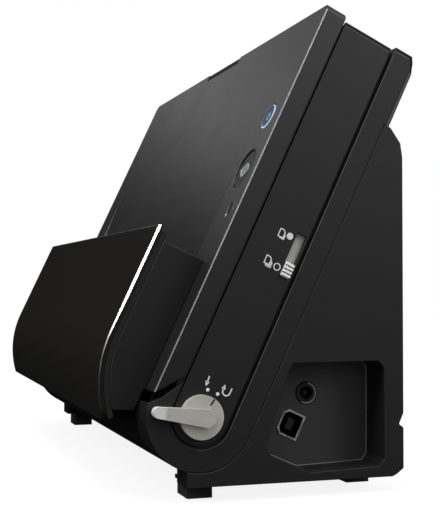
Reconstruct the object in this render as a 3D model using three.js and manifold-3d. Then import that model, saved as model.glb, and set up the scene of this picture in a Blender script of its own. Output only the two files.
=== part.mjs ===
import * as THREE from "three";
import { mergeVertices } from "three/addons/utils/BufferGeometryUtils.js";
import Module from "manifold-3d";

// A desktop document scanner: a leaning slab with a stadium-shaped side, on a triangular rear housing.
// Millimetres, +Z up, front towards -Y, the right side towards +X.
// Pieces of the slab sit in a group that leans back: there Y is depth towards the rear and Z runs
// up the slab, both measured from the path knob's axis, which is the centre of the slab's round end.

const wasm = await Module();
wasm.setup();

// Driving sizes
const bodyWidth = 300;
const slabLean = 25.2;
const coverFront = 23.5;
const slabEndRadius = 24;
const coverTop = 191.8;
const bandBack = 27.3;
const bandTop = 190;
const panelEndRadius = 12.5;
const panelTop = 188.3;
const groove = 1.8;
const rimGap = 0.9;
const knobAxisHeight = 36.6;
const knobAxisFront = 30.8;
const housingBack = 65.85;
const wall = 2.2;
const seam = 0.3;
const runningGap = 0.2;
const overrun = 5;
const weld = 1e-4;
const halfTurn = 180;
const quarterTurn = 90;
const fullTurn = 360;
const roundSides = 40;
const smallSides = 24;
const circleSteps = 24;
const endSteps = 16;

const halfWidth = bodyWidth / 2;
const bandInner = panelEndRadius + groove;
const rimInner = panelEndRadius + rimGap;
const innerWidth = halfWidth - wall;
const lean = THREE.MathUtils.degToRad(slabLean);

const slabMatrix = new THREE.Matrix4()
  .makeTranslation(0, -knobAxisFront, knobAxisHeight)
  .multiply(new THREE.Matrix4().makeRotationX(-lean));

// Turns a closed geometry into a solid that can be joined and cut.
function solid(geometry) {
  const bare = geometry.clone();
  bare.deleteAttribute("normal");
  bare.deleteAttribute("uv");
  const merged = mergeVertices(bare, weld);
  return new wasm.Manifold(
    new wasm.Mesh({
      numProp: 3,
      vertProperties: merged.attributes.position.array,
      triVerts: new Uint32Array(merged.index.array),
    }),
  );
}

// Turns a solid into a named mesh.
function meshOf(name, made, material) {
  const data = made.getMesh();
  const positions = new Float32Array(data.numVert * 3);
  for (let i = 0; i < data.numVert; i++) {
    const start = i * data.numProp;
    positions.set(data.vertProperties.subarray(start, start + 3), i * 3);
  }
  const geometry = new THREE.BufferGeometry();
  geometry.setAttribute("position", new THREE.BufferAttribute(positions, 3));
  geometry.setIndex(new THREE.BufferAttribute(new Uint32Array(data.triVerts), 1));
  geometry.computeVertexNormals();
  const mesh = new THREE.Mesh(geometry, material);
  mesh.name = name;
  return mesh;
}

// A block between two places on each axis.
function block([x0, x1], [y0, y1], [z0, z1]) {
  const geometry = new THREE.BoxGeometry(x1 - x0, y1 - y0, z1 - z0);
  return solid(geometry.translate((x0 + x1) / 2, (y0 + y1) / 2, (z0 + z1) / 2));
}

// A (y, z) outline swept along X between two places, with an optional frame of its own.
function prism(points, [x0, x1], frame) {
  const shape = new THREE.Shape(points.map(([y, z]) => new THREE.Vector2(y, z)));
  const geometry = new THREE.ExtrudeGeometry(shape, { depth: x1 - x0, bevelEnabled: false });
  const alongX = new THREE.Matrix4().makeBasis(
    new THREE.Vector3(0, 1, 0),
    new THREE.Vector3(0, 0, 1),
    new THREE.Vector3(1, 0, 0),
  );
  geometry.applyMatrix4(alongX).translate(x0, 0, 0);
  if (frame) geometry.applyMatrix4(frame);
  return solid(geometry);
}

// An (x, z) outline swept along Y between two places.
function plate(points, [y0, y1]) {
  const shape = new THREE.Shape(points.map(([x, z]) => new THREE.Vector2(x, z)));
  const geometry = new THREE.ExtrudeGeometry(shape, { depth: y1 - y0, bevelEnabled: false });
  const alongY = new THREE.Matrix4().makeBasis(
    new THREE.Vector3(1, 0, 0),
    new THREE.Vector3(0, 0, 1),
    new THREE.Vector3(0, -1, 0),
  );
  return solid(geometry.applyMatrix4(alongY).translate(0, y1, 0));
}

// An (x, y) outline swept along Z between two places, with an optional frame of its own.
function column(points, [z0, z1], frame) {
  const shape = new THREE.Shape(points.map(([x, y]) => new THREE.Vector2(x, y)));
  const geometry = new THREE.ExtrudeGeometry(shape, { depth: z1 - z0, bevelEnabled: false });
  geometry.translate(0, 0, z0);
  if (frame) geometry.applyMatrix4(frame);
  return solid(geometry);
}

// A round bar along X.
function rod(radius, [x0, x1], [y, z], sides = roundSides) {
  const geometry = new THREE.CylinderGeometry(radius, radius, x1 - x0, sides);
  return solid(geometry.rotateZ(-Math.PI / 2).translate((x0 + x1) / 2, y, z));
}

// A round bar along Y.
function post(radius, [y0, y1], [x, z], sides = roundSides) {
  const geometry = new THREE.CylinderGeometry(radius, radius, y1 - y0, sides);
  return solid(geometry.translate(x, (y0 + y1) / 2, z));
}

// Points along an arc in (y, z), angles in degrees from +Y towards +Z.
function arc([y, z], radius, from, to, steps) {
  const points = [];
  for (let i = 0; i <= steps; i++) {
    const angle = THREE.MathUtils.degToRad(from + ((to - from) * i) / steps);
    points.push([y + radius * Math.cos(angle), z + radius * Math.sin(angle)]);
  }
  return points;
}

// Points all round a circle in (y, z).
function circle(place, radius) {
  return arc(place, radius, 0, fullTurn - fullTurn / circleSteps, circleSteps - 1);
}

// A slab (y, z) place as a (y, z) place of the whole scanner.
function fromSlab([y, z]) {
  const place = new THREE.Vector3(0, y, z).applyMatrix4(slabMatrix);
  return [place.y, place.z];
}

// A whole-scanner (y, z) place as a slab (y, z) place.
function toSlab([y, z]) {
  const place = new THREE.Vector3(0, y, z).applyMatrix4(slabMatrix.clone().invert());
  return [place.y, place.z];
}

// The outline moved inwards by a distance, or outwards by a negative one.
function inset(points, distance) {
  let area = 0;
  points.forEach(([y, z], i) => {
    const [nextY, nextZ] = points[(i + 1) % points.length];
    area += y * nextZ - nextY * z;
  });
  const side = area > 0 ? distance : -distance;
  return points.map((point, i) => {
    const before = points[(i + points.length - 1) % points.length];
    const after = points[(i + 1) % points.length];
    const a = new THREE.Vector2(point[0] - before[0], point[1] - before[1]).normalize();
    const b = new THREE.Vector2(after[0] - point[0], after[1] - point[1]).normalize();
    const across = new THREE.Vector2(-a.y - b.y, a.x + b.x);
    const reach = side / (1 + a.dot(b));
    return [point[0] + across.x * reach, point[1] + across.y * reach];
  });
}

// The convex outline round a set of points.
function hull(points) {
  const sorted = [...points].sort((a, b) => a[0] - b[0] || a[1] - b[1]);
  const turn = (o, a, b) => (a[0] - o[0]) * (b[1] - o[1]) - (a[1] - o[1]) * (b[0] - o[0]);
  const chain = (list) => {
    const kept = [];
    for (const point of list) {
      while (kept.length > 1 && turn(kept.at(-2), kept.at(-1), point) <= 0) kept.pop();
      kept.push(point);
    }
    return kept.slice(0, -1);
  };
  return [...chain(sorted), ...chain(sorted.reverse())];
}

const mirrored = ([x0, x1]) => [-x1, -x0];
const around = (centre, half) => [centre - half, centre + half];

function finish(colour, roughness, metalness = 0) {
  return new THREE.MeshStandardMaterial({ color: colour, roughness, metalness });
}

const casing = finish(0x1b1b1d, 0.55);
const coverFinish = finish(0x2a2a2c, 0.35);
const glossBlack = finish(0x0c0c0e, 0.12);
const darkPlastic = finish(0x242427, 0.6);
const paleGrey = finish(0xcfcdc8, 0.45);
const rubber = finish(0x3a3a3c, 0.85);
const steel = finish(0xb4b6b8, 0.35, 1);
const clearGlass = finish(0xbfd4d8, 0.05);
const boardGreen = finish(0x1f5c3a, 0.6);
const blueLight = finish(0x3a7fd0, 0.3);

const scanner = new THREE.Group();
const slab = new THREE.Group();
slab.applyMatrix4(slabMatrix);
scanner.add(slab);

// Rear housing: both rims of the slab, the triangular sides, the back and the port recess
const bandFlatBack = 23.3;
const bandChamferDrop = 7;
const bandFoot = 155;
const shoulderTop = 158.3;
const shoulderLow = 151.7;
const shoulderIn = 1;
const notchHigh = 35;
const notchMiddle = 30;
const notchLow = 28.3;
const notchDepth = 2.2;
const skirtTop = 10;
const skirtLow = 7.5;
const skirtIn = 3.3;
const footHeight = 6.45;
const legFront = -36.85;
const legWidth = 16;
const wedgeLipZ = -4;
const wedgeTurn = [-19.4, 0.6];
const wedgeDepth = 10.3;
const edgeBevel = 2.5;
const creaseWidth = 0.8;
const creaseDepth = 0.5;
const creaseEnd = -80;
const creaseSteps = 12;
const recessReach = 18.5;
const recessFloorX = halfWidth - recessReach;
const recessWall = 1.6;
const recessOutline = [
  [9.75, 55.8],
  [12.15, 58.8],
  [53.55, 59],
  [56.45, 55.4],
  [56.35, 14.5],
  [53.85, 11.3],
  [20.65, 10.1],
  [1.45, 18.6],
  [-0.55, 22.5],
];
const jackPlace = [25.55, 43.5];
const jackRadius = 4.9;
const socketPlace = [17.65, 29.5];
const socketHalfDepth = 5.5;
const socketHalfHeight = 6;
const portClearance = 0.4;

const lipY = -Math.sqrt(slabEndRadius ** 2 - wedgeLipZ ** 2);
const lipAngle = THREE.MathUtils.radToDeg(Math.atan2(-wedgeLipZ, -lipY)) - halfTurn;
const socketSlab = toSlab(socketPlace);

const backOutline = [
  [housingBack - shoulderIn, shoulderTop],
  [housingBack, shoulderLow],
  [housingBack, notchHigh],
  [housingBack - notchDepth, notchMiddle],
  [housingBack, notchLow],
  [housingBack, skirtTop],
];

function sideOutline() {
  const legReach = Math.sqrt(slabEndRadius ** 2 - (legFront + knobAxisFront) ** 2);
  const legSlab = toSlab([legFront, knobAxisHeight - legReach]);
  const legAngle = THREE.MathUtils.radToDeg(Math.atan2(legSlab[1], legSlab[0]));
  return [
    fromSlab([bandInner, bandTop]),
    fromSlab([bandFlatBack, bandTop]),
    fromSlab([bandBack, bandTop - bandChamferDrop]),
    fromSlab([bandBack, bandFoot]),
    ...backOutline,
    [housingBack - skirtIn, skirtLow],
    [housingBack - skirtIn - wall, footHeight],
    [legFront, footHeight],
    ...arc([0, 0], slabEndRadius, legAngle, lipAngle, endSteps).map(fromSlab),
    ...[
      wedgeTurn,
      [-rimInner, wedgeDepth],
      ...arc([(bandInner - rimInner) / 2, 0], (bandInner + rimInner) / 2, -halfTurn, 0, endSteps),
    ].map(fromSlab),
  ];
}

function insideOutline() {
  const farFront = -bodyWidth;
  return [
    fromSlab([farFront, bandTop]),
    fromSlab([bandFlatBack, bandTop]),
    fromSlab([bandBack, bandTop - bandChamferDrop]),
    fromSlab([bandBack, bandFoot]),
    ...backOutline,
    [housingBack - skirtIn, skirtLow],
    [housingBack - skirtIn, farFront],
    [farFront, farFront],
  ];
}

// The thin groove that sets the slab's band off from the triangular housing.
function bandCrease(side) {
  const depth = [halfWidth - creaseDepth, halfWidth + overrun];
  const x = side > 0 ? depth : mirrored(depth);
  const inner = slabEndRadius - creaseWidth / 2;
  const outer = slabEndRadius + creaseWidth / 2;
  const line = [
    [outer, bandFoot],
    [inner, bandFoot],
    ...arc([0, 0], inner, 0, creaseEnd, creaseSteps),
    ...arc([0, 0], outer, creaseEnd, 0, creaseSteps),
  ];
  return prism(line, x, slabMatrix);
}

// Bevels the band's back corners, along its height.
function bandBevel(side) {
  const corner = [
    [side * (halfWidth - edgeBevel), bandBack],
    [side * halfWidth, bandBack - edgeBevel],
    [side * (halfWidth + overrun), bandBack - edgeBevel],
    [side * (halfWidth + overrun), bandBack + overrun],
    [side * (halfWidth - edgeBevel), bandBack + overrun],
  ];
  return column(corner, [bandFoot, bandTop + overrun], slabMatrix);
}

function rearHousing() {
  const inner = inset(insideOutline(), wall);
  let shell = prism(sideOutline(), [-halfWidth, halfWidth]);
  shell = shell.subtract(prism(inner, [-innerWidth, innerWidth]));
  const legX = [halfWidth - legWidth, innerWidth + wall / 2];
  const underEnd = (y) => knobAxisHeight - Math.sqrt(slabEndRadius ** 2 - (y + knobAxisFront) ** 2) - seam;
  const legWall = [
    [legFront, footHeight],
    [legFront + wall, footHeight],
    [legFront + wall, underEnd(legFront + wall)],
    [legFront, underEnd(legFront)],
  ];
  shell = shell.add(prism(legWall, legX)).add(prism(legWall, mirrored(legX)));
  shell = shell.subtract(bandBevel(1)).subtract(bandBevel(-1));
  shell = shell.subtract(bandCrease(1)).subtract(bandCrease(-1));
  const recessBack = recessFloorX - recessWall;
  shell = shell.add(prism(inset(recessOutline, -recessWall), [recessBack, innerWidth + wall / 2]));
  shell = shell.subtract(prism(recessOutline, [recessFloorX, halfWidth + overrun]));
  const floorCut = [recessBack - overrun, recessFloorX + overrun];
  shell = shell.subtract(rod(jackRadius + portClearance, floorCut, jackPlace));
  const [socketY, socketZ] = socketSlab;
  const hole = [
    [socketY - socketHalfDepth - portClearance, socketZ - socketHalfHeight - portClearance],
    [socketY + socketHalfDepth + portClearance, socketZ - socketHalfHeight - portClearance],
    [socketY + socketHalfDepth + portClearance, socketZ + socketHalfHeight + portClearance],
    [socketY - socketHalfDepth - portClearance, socketZ + socketHalfHeight + portClearance],
  ];
  return shell.subtract(prism(hole, floorCut, slabMatrix));
}
scanner.add(meshOf("rear_housing", rearHousing(), casing));

// Bottom cover: the curved underside of the slab's round end, with slots for the hinge arms
const bottomCoverWall = 2.2;
const bottomCoverBackAngle = -8;
const hingePivotY = -17;
const hingePivotZ = -7;
const frameGap = 10;
const frameInner = halfWidth - frameGap;
const hingeArmIn = 8;
const hingeArmX = frameInner - hingeArmIn;
const hingeArmWidth = 4;
const hingeSlotDrop = 8;

function bottomCover() {
  const width = [-innerWidth + seam, innerWidth - seam];
  const ring = [
    ...arc([0, 0], slabEndRadius, lipAngle, bottomCoverBackAngle, endSteps),
    ...arc([0, 0], slabEndRadius - bottomCoverWall, bottomCoverBackAngle, lipAngle, endSteps),
  ];
  let cover = prism(ring, width);
  const slotX = [hingeArmX - seam, hingeArmX + hingeArmWidth + seam];
  const slotY = [-slabEndRadius - overrun, 0];
  const slotZ = [wedgeLipZ - hingeSlotDrop, wedgeLipZ + overrun];
  cover = cover.subtract(block(slotX, slotY, slotZ));
  return cover.subtract(block(mirrored(slotX), slotY, slotZ));
}
slab.add(meshOf("bottom_cover", bottomCover(), casing));

// Base plate under the rear housing, with two posts for the board, and four rubber feet
const basePlateThickness = 1.6;
const basePlateFront = -9.6;
const baseLipThickness = 1.6;
const baseLipTop = 22.6;
const basePlateBackGap = 0.4;
const boardPostWidth = 6;
const footWidth = 15.7;
const footLength = 11.4;
const footInset = 9.8;
const footFront = -33.95;
const rearFootBack = 5.6;
const rearFootInset = 25;
const rearFootFront = housingBack - rearFootBack - footLength;

const padShelfWidth = 28;
const padShelfX = halfWidth - padShelfWidth;
const padShelfFront = -34.4;

function basePlate() {
  const top = footHeight + basePlateThickness;
  const back = housingBack - skirtIn - wall - basePlateBackGap;
  const shelf = [padShelfX, innerWidth - seam];
  let base = block([-innerWidth + seam, innerWidth - seam], [basePlateFront, back], [footHeight, top]);
  const shelfY = [padShelfFront, basePlateFront + overrun];
  base = base.add(block(shelf, shelfY, [footHeight, top]));
  base = base.add(block(mirrored(shelf), shelfY, [footHeight, top]));
  const lipDepth = [basePlateFront, basePlateFront + baseLipThickness];
  base = base.add(block([-innerWidth + seam, innerWidth - seam], lipDepth, [footHeight, baseLipTop]));
  const [postY, postTop] = fromSlab([boardBack, boardFoot]);
  const postZ = [footHeight, postTop - seam];
  const postDepth = [postY - boardPostWidth, postY];
  for (const x of [boardLeft + boardPostWidth, boardRight - boardPostWidth]) {
    base = base.add(block(around(x, boardPostWidth / 2), postDepth, postZ));
  }
  return base;
}

function padOutline(x0, y0) {
  return [
    [x0, y0],
    [x0 + footWidth, y0],
    [x0 + footWidth, y0 + footLength],
    [x0, y0 + footLength],
  ];
}

// Main board, standing parallel to the slab behind it, with the two sockets on its right edge
const boardThickness = 1.6;
const boardFoot = 2;
const boardHeight = 96;
const boardInset = 24;
const boardRight = halfWidth - boardInset;
const boardWidth = 186;
const boardLeft = boardRight - boardWidth;
const boardBack = socketSlab[0] - socketHalfDepth - seam;

scanner.add(meshOf("base_plate", basePlate(), steel));
const padPlaces = {
  front_right: [halfWidth - footInset - footWidth, footFront],
  front_left: [-halfWidth + footInset, footFront],
  rear_right: [halfWidth - rearFootInset - footWidth, rearFootFront],
  rear_left: [-halfWidth + rearFootInset, rearFootFront],
};
for (const [name, [x0, y0]] of Object.entries(padPlaces)) {
  scanner.add(meshOf("foot_" + name, column(padOutline(x0, y0), [0, footHeight]), rubber));
}

function mainBoard() {
  const x = [boardLeft, boardRight];
  return block(x, [boardBack - boardThickness, boardBack], [boardFoot, boardFoot + boardHeight]);
}
slab.add(meshOf("main_board", mainBoard(), boardGreen));

// Power inlet and data socket, both standing in the port recess
const jackProud = 0.3;
const jackBore = 3.1;
const jackPinRadius = 1;
const jackPinBack = 1.5;
const jackBodyHalf = 4.9;
const jackBodyLength = 9;
const socketProud = 0.5;
const socketShell = 0.6;
const socketLength = 16;
const socketChamfer = 2.2;
const tongueHalfDepth = 1.7;
const tongueHalfHeight = 2.6;
const tongueBack = 1;

function powerInlet() {
  const [y, z] = jackPlace;
  const floorBack = recessFloorX - recessWall - seam;
  const front = recessFloorX + jackProud;
  const bodyX = [floorBack - jackBodyLength, floorBack];
  const middle = floorBack - jackBodyLength / 2;
  let inlet = block(bodyX, around(y, jackBodyHalf), around(z, jackBodyHalf));
  inlet = inlet.add(rod(jackRadius, [floorBack - seam, front], jackPlace));
  inlet = inlet.subtract(rod(jackBore, [middle, front + overrun], jackPlace));
  return inlet.add(rod(jackPinRadius, [middle - seam, front - jackPinBack], jackPlace, smallSides));
}
scanner.add(meshOf("power_inlet", powerInlet(), darkPlastic));

function chamfered(halfY, halfZ, cut) {
  const [y, z] = socketSlab;
  return [
    [y - halfY, z - halfZ],
    [y + halfY, z - halfZ],
    [y + halfY, z + halfZ],
    [y - halfY, z + halfZ],
  ].flatMap(([py, pz]) => {
    const towardY = Math.sign(py - y);
    const towardZ = Math.sign(pz - z);
    if (towardY > 0) return [[py, pz]];
    const alongY = [py - towardY * cut, pz];
    const alongZ = [py, pz - towardZ * cut];
    return towardZ < 0 ? [alongZ, alongY] : [alongY, alongZ];
  });
}

function dataSocket() {
  const front = recessFloorX + socketProud;
  const outer = chamfered(socketHalfDepth, socketHalfHeight, socketChamfer);
  const shell = prism(outer, [front - socketLength, front]);
  const inner = inset(outer, socketShell);
  return shell.subtract(prism(inner, [front - socketLength + socketShell, front + overrun]));
}
slab.add(meshOf("data_socket", dataSocket(), steel));

function dataTongue() {
  const front = recessFloorX + socketProud - tongueBack;
  const back = recessFloorX + socketProud - socketLength + socketShell + seam;
  const [y, z] = socketSlab;
  return block([back, front], around(y, tongueHalfDepth), around(z, tongueHalfHeight));
}
slab.add(meshOf("data_socket_tongue", dataTongue(), darkPlastic));

// Paper path and rollers, down the slab
const feedZ = 92;
const feedRadius = 10;
const registrationZ = 66;
const driveRadius = 7;
const ejectZ = 16;
const rearSensorZ = 49;
const frontSensorZ = 34;
const pathHalfGap = 0.15;
const guideGap = 1;
const guideThickness = 2;
const frameThickness = 1.5;
const guideHalf = frameInner - seam;
const guideFoot = 10;
const guideTop = 186;
const windowGap = 0.7;
const driveIn = 80;
const driveHalf = frameInner - driveIn;
const feedHalf = 16;
const shaftRadius = 3;
const shaftOver = 1;
const sensorIn = 28;
const sensorHalf = frameInner - sensorIn;
const glassThickness = 1.4;
const glassHalfHeight = 7.5;
const sensorBodyOver = 4;
const sensorBodyHalf = sensorHalf + sensorBodyOver;
const sensorBodyHalfHeight = 9;
const sensorDepth = 11;

const feedPlace = [feedRadius + pathHalfGap, feedZ];
const registrationPlace = [driveRadius + pathHalfGap, registrationZ];
const ejectPlace = [driveRadius + pathHalfGap, ejectZ];

// Side frames: steel plates that carry the shafts, the hinge pins and the knob's shaft
const frameFront = -12;
const latchY = -17;
const latchZ = 176;
const latchBarRadius = 2;
const latchEndGap = 0.5;
const latchBarHalf = frameInner - latchEndGap;
const catchPlace = [-8, 180.6];
const catchRadius = 1.5;
const catchLength = 4;
const frameTop = 184;
const frameEndRadius = 21.5;
const frameEndSteps = 18;
const motorY = 41;
const motorZ = 72;
const motorRadius = 17;
const motorLength = 28;
const motorShaftRadius = 2.5;
const motorBossRadius = 7.5;
const motorPlace = [motorY, motorZ];
const pathShaftRadius = 3;
const hingePinRadius = 2;
const bearingLip = 3;

function frameOutline(withMotor) {
  const motorBack = motorY + motorRadius;
  const ear = withMotor
    ? [
        [frameEndRadius, motorZ - motorRadius - bearingLip],
        [motorBack, motorZ - motorRadius - bearingLip],
        [motorBack, motorZ + motorRadius],
        [frameEndRadius, motorZ + motorRadius + bearingLip],
      ]
    : [];
  const start = THREE.MathUtils.radToDeg(Math.acos(frameFront / frameEndRadius));
  return [
    ...arc([0, 0], frameEndRadius, start - fullTurn, 0, frameEndSteps),
    ...ear,
    [frameEndRadius, frameTop],
    [frameFront, frameTop],
  ];
}

function sideFrame(side) {
  const x = [frameInner, frameInner + frameThickness];
  const span = side > 0 ? x : mirrored(x);
  const cut = [span[0] - overrun, span[1] + overrun];
  let frame = prism(frameOutline(side < 0), span);
  for (const place of [feedPlace, registrationPlace, ejectPlace]) {
    frame = frame.subtract(rod(shaftRadius + runningGap, cut, place));
  }
  frame = frame.subtract(rod(pathShaftRadius + runningGap, cut, [0, 0]));
  frame = frame.subtract(rod(hingePinRadius + seam, cut, [hingePivotY, hingePivotZ], smallSides));
  const peg = [frameInner - catchLength, frameInner + frameThickness / 2];
  frame = frame.add(rod(catchRadius, side > 0 ? peg : mirrored(peg), catchPlace, smallSides));
  if (side < 0) frame = frame.subtract(rod(motorShaftRadius + seam, cut, motorPlace, smallSides));
  return frame;
}
slab.add(meshOf("right_side_frame", sideFrame(1), steel));
slab.add(meshOf("left_side_frame", sideFrame(-1), steel));

// Hinge pins of the front unit, one in each side frame
const pinHead = 1.5;
const pinHeadStart = frameInner + frameThickness + runningGap;

function hingePin() {
  const place = [hingePivotY, hingePivotZ];
  const head = [pinHeadStart, pinHeadStart + pinHead];
  const shank = [hingeArmX - seam, head[1]];
  const pin = rod(hingePinRadius, shank, place, smallSides);
  return pin.add(rod(hingePinRadius + seam + pinHead / 2, head, place, smallSides));
}
slab.add(meshOf("hinge_pin_right", hingePin(), steel));
slab.add(meshOf("hinge_pin_left", hingePin().mirror([1, 0, 0]), steel));

// Middle side panels, each standing off its frame on two pads
const panelSink = 0.4;
const panelFace = halfWidth - panelSink;
const panelThickness = 2;
const panelPadHalf = 4;
const panelPadY = -7;
const panelPadZ = [30, 150];
const panelEndSteps = 20;
const lipThickness = 0.8;
const lipOver = 0.8;
const lipIn = 2;
const lipTopGap = 0.5;
const knobRecessRadius = 9.9;
const knobRecessDepth = 0.8;
const knobHoleRadius = 4;
const switchY = 9.25;
const switchLow = 70.8;
const switchHigh = 91;
const switchHalf = 2.45;
const switchTravel = 13;
const switchGap = 0.4;
const gripHeight = 6.7;
const gripProud = 1.8;
const gripRibs = 4;
const ribShare = 0.55;
const ribHeight = 1.3;
const shutterThickness = 0.8;
const shutterHalf = 2.8;

// A (y, z) outline with a round lower end and a flat top.
function stadium(radius, top) {
  return [...arc([0, 0], radius, -halfTurn, 0, panelEndSteps), [radius, top], [-radius, top]];
}

function sidePanel(side) {
  const x = [panelFace - panelThickness, panelFace];
  const lipFace = x[0] - seam;
  const lipBack = lipFace - lipThickness;
  const lipTop = bandTop - wall - lipTopGap;
  let lip = prism(stadium(bandInner + lipOver, lipTop), [lipBack, lipFace]);
  lip = lip.add(prism(stadium(panelEndRadius, lipTop), [lipBack, panelFace - panelThickness / 2]));
  lip = lip.subtract(prism(stadium(bandInner - lipIn, bandTop + overrun), [lipBack - overrun, x[0]]));
  let panel = prism(stadium(panelEndRadius, panelTop), x).add(lip);
  const padX = [frameInner + frameThickness + seam, panelFace - panelThickness / 2];
  for (const z of panelPadZ) {
    panel = panel.add(block(padX, around(panelPadY, panelPadHalf), around(z, panelPadHalf)));
  }
  if (side < 0) return panel.mirror([1, 0, 0]);
  const cut = [padX[0], panelFace + overrun];
  panel = panel.subtract(rod(knobRecessRadius, [panelFace - knobRecessDepth, panelFace + overrun], [0, 0]));
  panel = panel.subtract(rod(knobHoleRadius, cut, [0, 0]));
  const slotZ = [switchLow - switchGap, switchHigh + switchGap];
  return panel.subtract(block(cut, around(switchY, switchHalf), slotZ));
}
slab.add(meshOf("right_side_panel", sidePanel(1), darkPlastic));
slab.add(meshOf("left_side_panel", sidePanel(-1), darkPlastic));

// Feed selection lever: a ribbed grip in the side slot, with a shutter strip that fills the slot
function selectionGrip() {
  const half = switchHalf - switchGap;
  const back = panelFace - panelThickness - switchGap - shutterThickness - seam;
  const front = panelFace + gripProud;
  const z = [switchLow, switchLow + gripHeight];
  let grip = block([back - panelThickness, front - ribHeight], around(switchY, half), z);
  const pitch = gripHeight / gripRibs;
  for (let i = 0; i < gripRibs; i++) {
    const low = switchLow + pitch * (i + (1 - ribShare) / 2);
    grip = grip.add(block([front - gripProud, front], around(switchY, half), [low, low + pitch * ribShare]));
  }
  return grip;
}
slab.add(meshOf("feed_selection_lever", selectionGrip(), paleGrey));

function selectorShutter() {
  const half = switchHalf - switchGap;
  const front = panelFace - panelThickness - switchGap;
  const z = [switchLow - switchTravel - 2 * switchGap, switchHigh + 2 * switchGap];
  const strip = block([front - shutterThickness, front], around(switchY, shutterHalf), z);
  const holeZ = [switchLow - seam, switchLow + gripHeight + seam];
  return strip.subtract(block([front - overrun, front + overrun], around(switchY, half + seam), holeZ));
}
slab.add(meshOf("selector_shutter", selectorShutter(), darkPlastic));

// Eject path knob on the right end of the flap's shaft
const knobRadius = 9.6;
const knobProud = 4.8;
const knobBackGap = 0.4;
const knobLeverReach = 22.3;
const knobLeverHeel = 5.6;
const knobLeverCorner = 2.6;
const knobLeverRoot = 4;
const knobLeverTip = 2.35;
const knobLeverAngle = 197;
const knobLeverBack = 0.6;
const knobDiscDrop = 2.2;
const knobTipSteps = 8;
const pathShaftOver = 1;
const pathShaftEnd = panelFace + pathShaftOver;

function pathKnob() {
  const back = panelFace - knobRecessDepth + knobBackGap;
  const face = halfWidth + knobProud;
  let knob = rod(knobRadius, [back, face - knobDiscDrop], [0, 0]);
  const angle = THREE.MathUtils.degToRad(knobLeverAngle);
  const along = [Math.cos(angle), Math.sin(angle)];
  const place = (distance, offset) => [
    along[0] * distance - along[1] * offset,
    along[1] * distance + along[0] * offset,
  ];
  const tip = place(knobLeverReach - knobLeverTip, 0);
  const fromAngle = knobLeverAngle - quarterTurn;
  const lever = [
    place(-knobLeverHeel, knobLeverCorner - knobLeverRoot),
    place(knobLeverCorner - knobLeverHeel, -knobLeverRoot),
    ...arc(tip, knobLeverTip, fromAngle, fromAngle + halfTurn, knobTipSteps),
    place(knobLeverCorner - knobLeverHeel, knobLeverRoot),
    place(-knobLeverHeel, knobLeverRoot - knobLeverCorner),
  ];
  const bore = rod(pathShaftRadius + seam, [back - overrun, pathShaftEnd + seam], [0, 0], smallSides);
  return knob.add(prism(lever, [halfWidth + knobLeverBack, face])).subtract(bore);
}
slab.add(meshOf("eject_path_knob", pathKnob(), paleGrey));

// Eject path flap: a curved vane between two end discs on stub shafts
const flapRadius = 6.5;
const flapWall = 1.8;
const flapIn = 12;
const flapEnd = frameInner - flapIn;
const flapDisc = 2;
const flapLowAngle = -70;
const flapHighAngle = 60;
const flapSteps = 12;

function pathFlap() {
  const vane = [
    ...arc([0, 0], flapRadius, flapLowAngle, flapHighAngle, flapSteps),
    ...arc([0, 0], flapRadius - flapWall, flapHighAngle, flapLowAngle, flapSteps),
  ];
  let flap = prism(vane, [-flapEnd, flapEnd]);
  const disc = [flapEnd - flapDisc, flapEnd];
  flap = flap.add(rod(flapRadius - seam, disc, [0, 0], smallSides));
  flap = flap.add(rod(flapRadius - seam, mirrored(disc), [0, 0], smallSides));
  const shaftLeft = -frameInner - frameThickness - shaftOver;
  flap = flap.add(rod(pathShaftRadius, [flapEnd - flapDisc, pathShaftEnd], [0, 0]));
  return flap.add(rod(pathShaftRadius, [shaftLeft, -flapEnd + flapDisc], [0, 0]));
}
slab.add(meshOf("eject_path_flap", pathFlap(), darkPlastic));

// Driven rollers: steel shafts with rubber rollers, their pulleys at the left end
const rollerSides = 32;
const shaftSides = 24;
const pulleyRadius = 6;
const feedPulleyRadius = 8;
const motorPulleyRadius = 5;
const pulleyGap = 0.7;
const pulleyStart = frameInner + frameThickness + pulleyGap;
const pulleyWidth = 4;
const beltThickness = 0.8;
const beltGap = 0.2;

function rollerShaft(place) {
  const left = -pulleyStart - pulleyWidth;
  return rod(shaftRadius, [left, frameInner + frameThickness + shaftOver], place, shaftSides);
}

function tyre(radius, half, place) {
  const body = rod(radius, [-half, half], place, rollerSides);
  return body.subtract(rod(shaftRadius + seam, [-half - overrun, half + overrun], place, shaftSides));
}

function pulley(radius, bore, place) {
  const span = [-pulleyStart - pulleyWidth, -pulleyStart];
  const cut = [span[0] - overrun, span[1] + overrun];
  const wheel = rod(radius, span, place, rollerSides);
  return wheel.subtract(rod(bore + seam, cut, place, shaftSides));
}

const driven = {
  feed: [feedRadius, feedHalf, feedPlace, feedPulleyRadius],
  registration: [driveRadius, driveHalf, registrationPlace, pulleyRadius],
  eject: [driveRadius, driveHalf, ejectPlace, pulleyRadius],
};
for (const [name, [radius, half, place, wheel]] of Object.entries(driven)) {
  slab.add(meshOf(name + "_shaft", rollerShaft(place), steel));
  slab.add(meshOf(name + "_roller", tyre(radius, half, place), rubber));
  slab.add(meshOf(name + "_pulley", pulley(wheel, shaftRadius, place), darkPlastic));
}

// Motor on the left frame, its pulley and the belt round all four pulleys
const motorGap = 0.3;
const motorStub = 1;

function motorBody() {
  const face = -frameInner + motorGap;
  const end = face + motorLength;
  const boreX = [face - overrun, face + motorLength / 2];
  const can = rod(motorRadius, [face, end], motorPlace, rollerSides);
  const boss = rod(motorBossRadius, [end, end + motorStub], motorPlace, rollerSides);
  return can.add(boss).subtract(rod(motorShaftRadius + runningGap, boreX, motorPlace, shaftSides));
}
slab.add(meshOf("feed_motor", motorBody(), steel));

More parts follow.
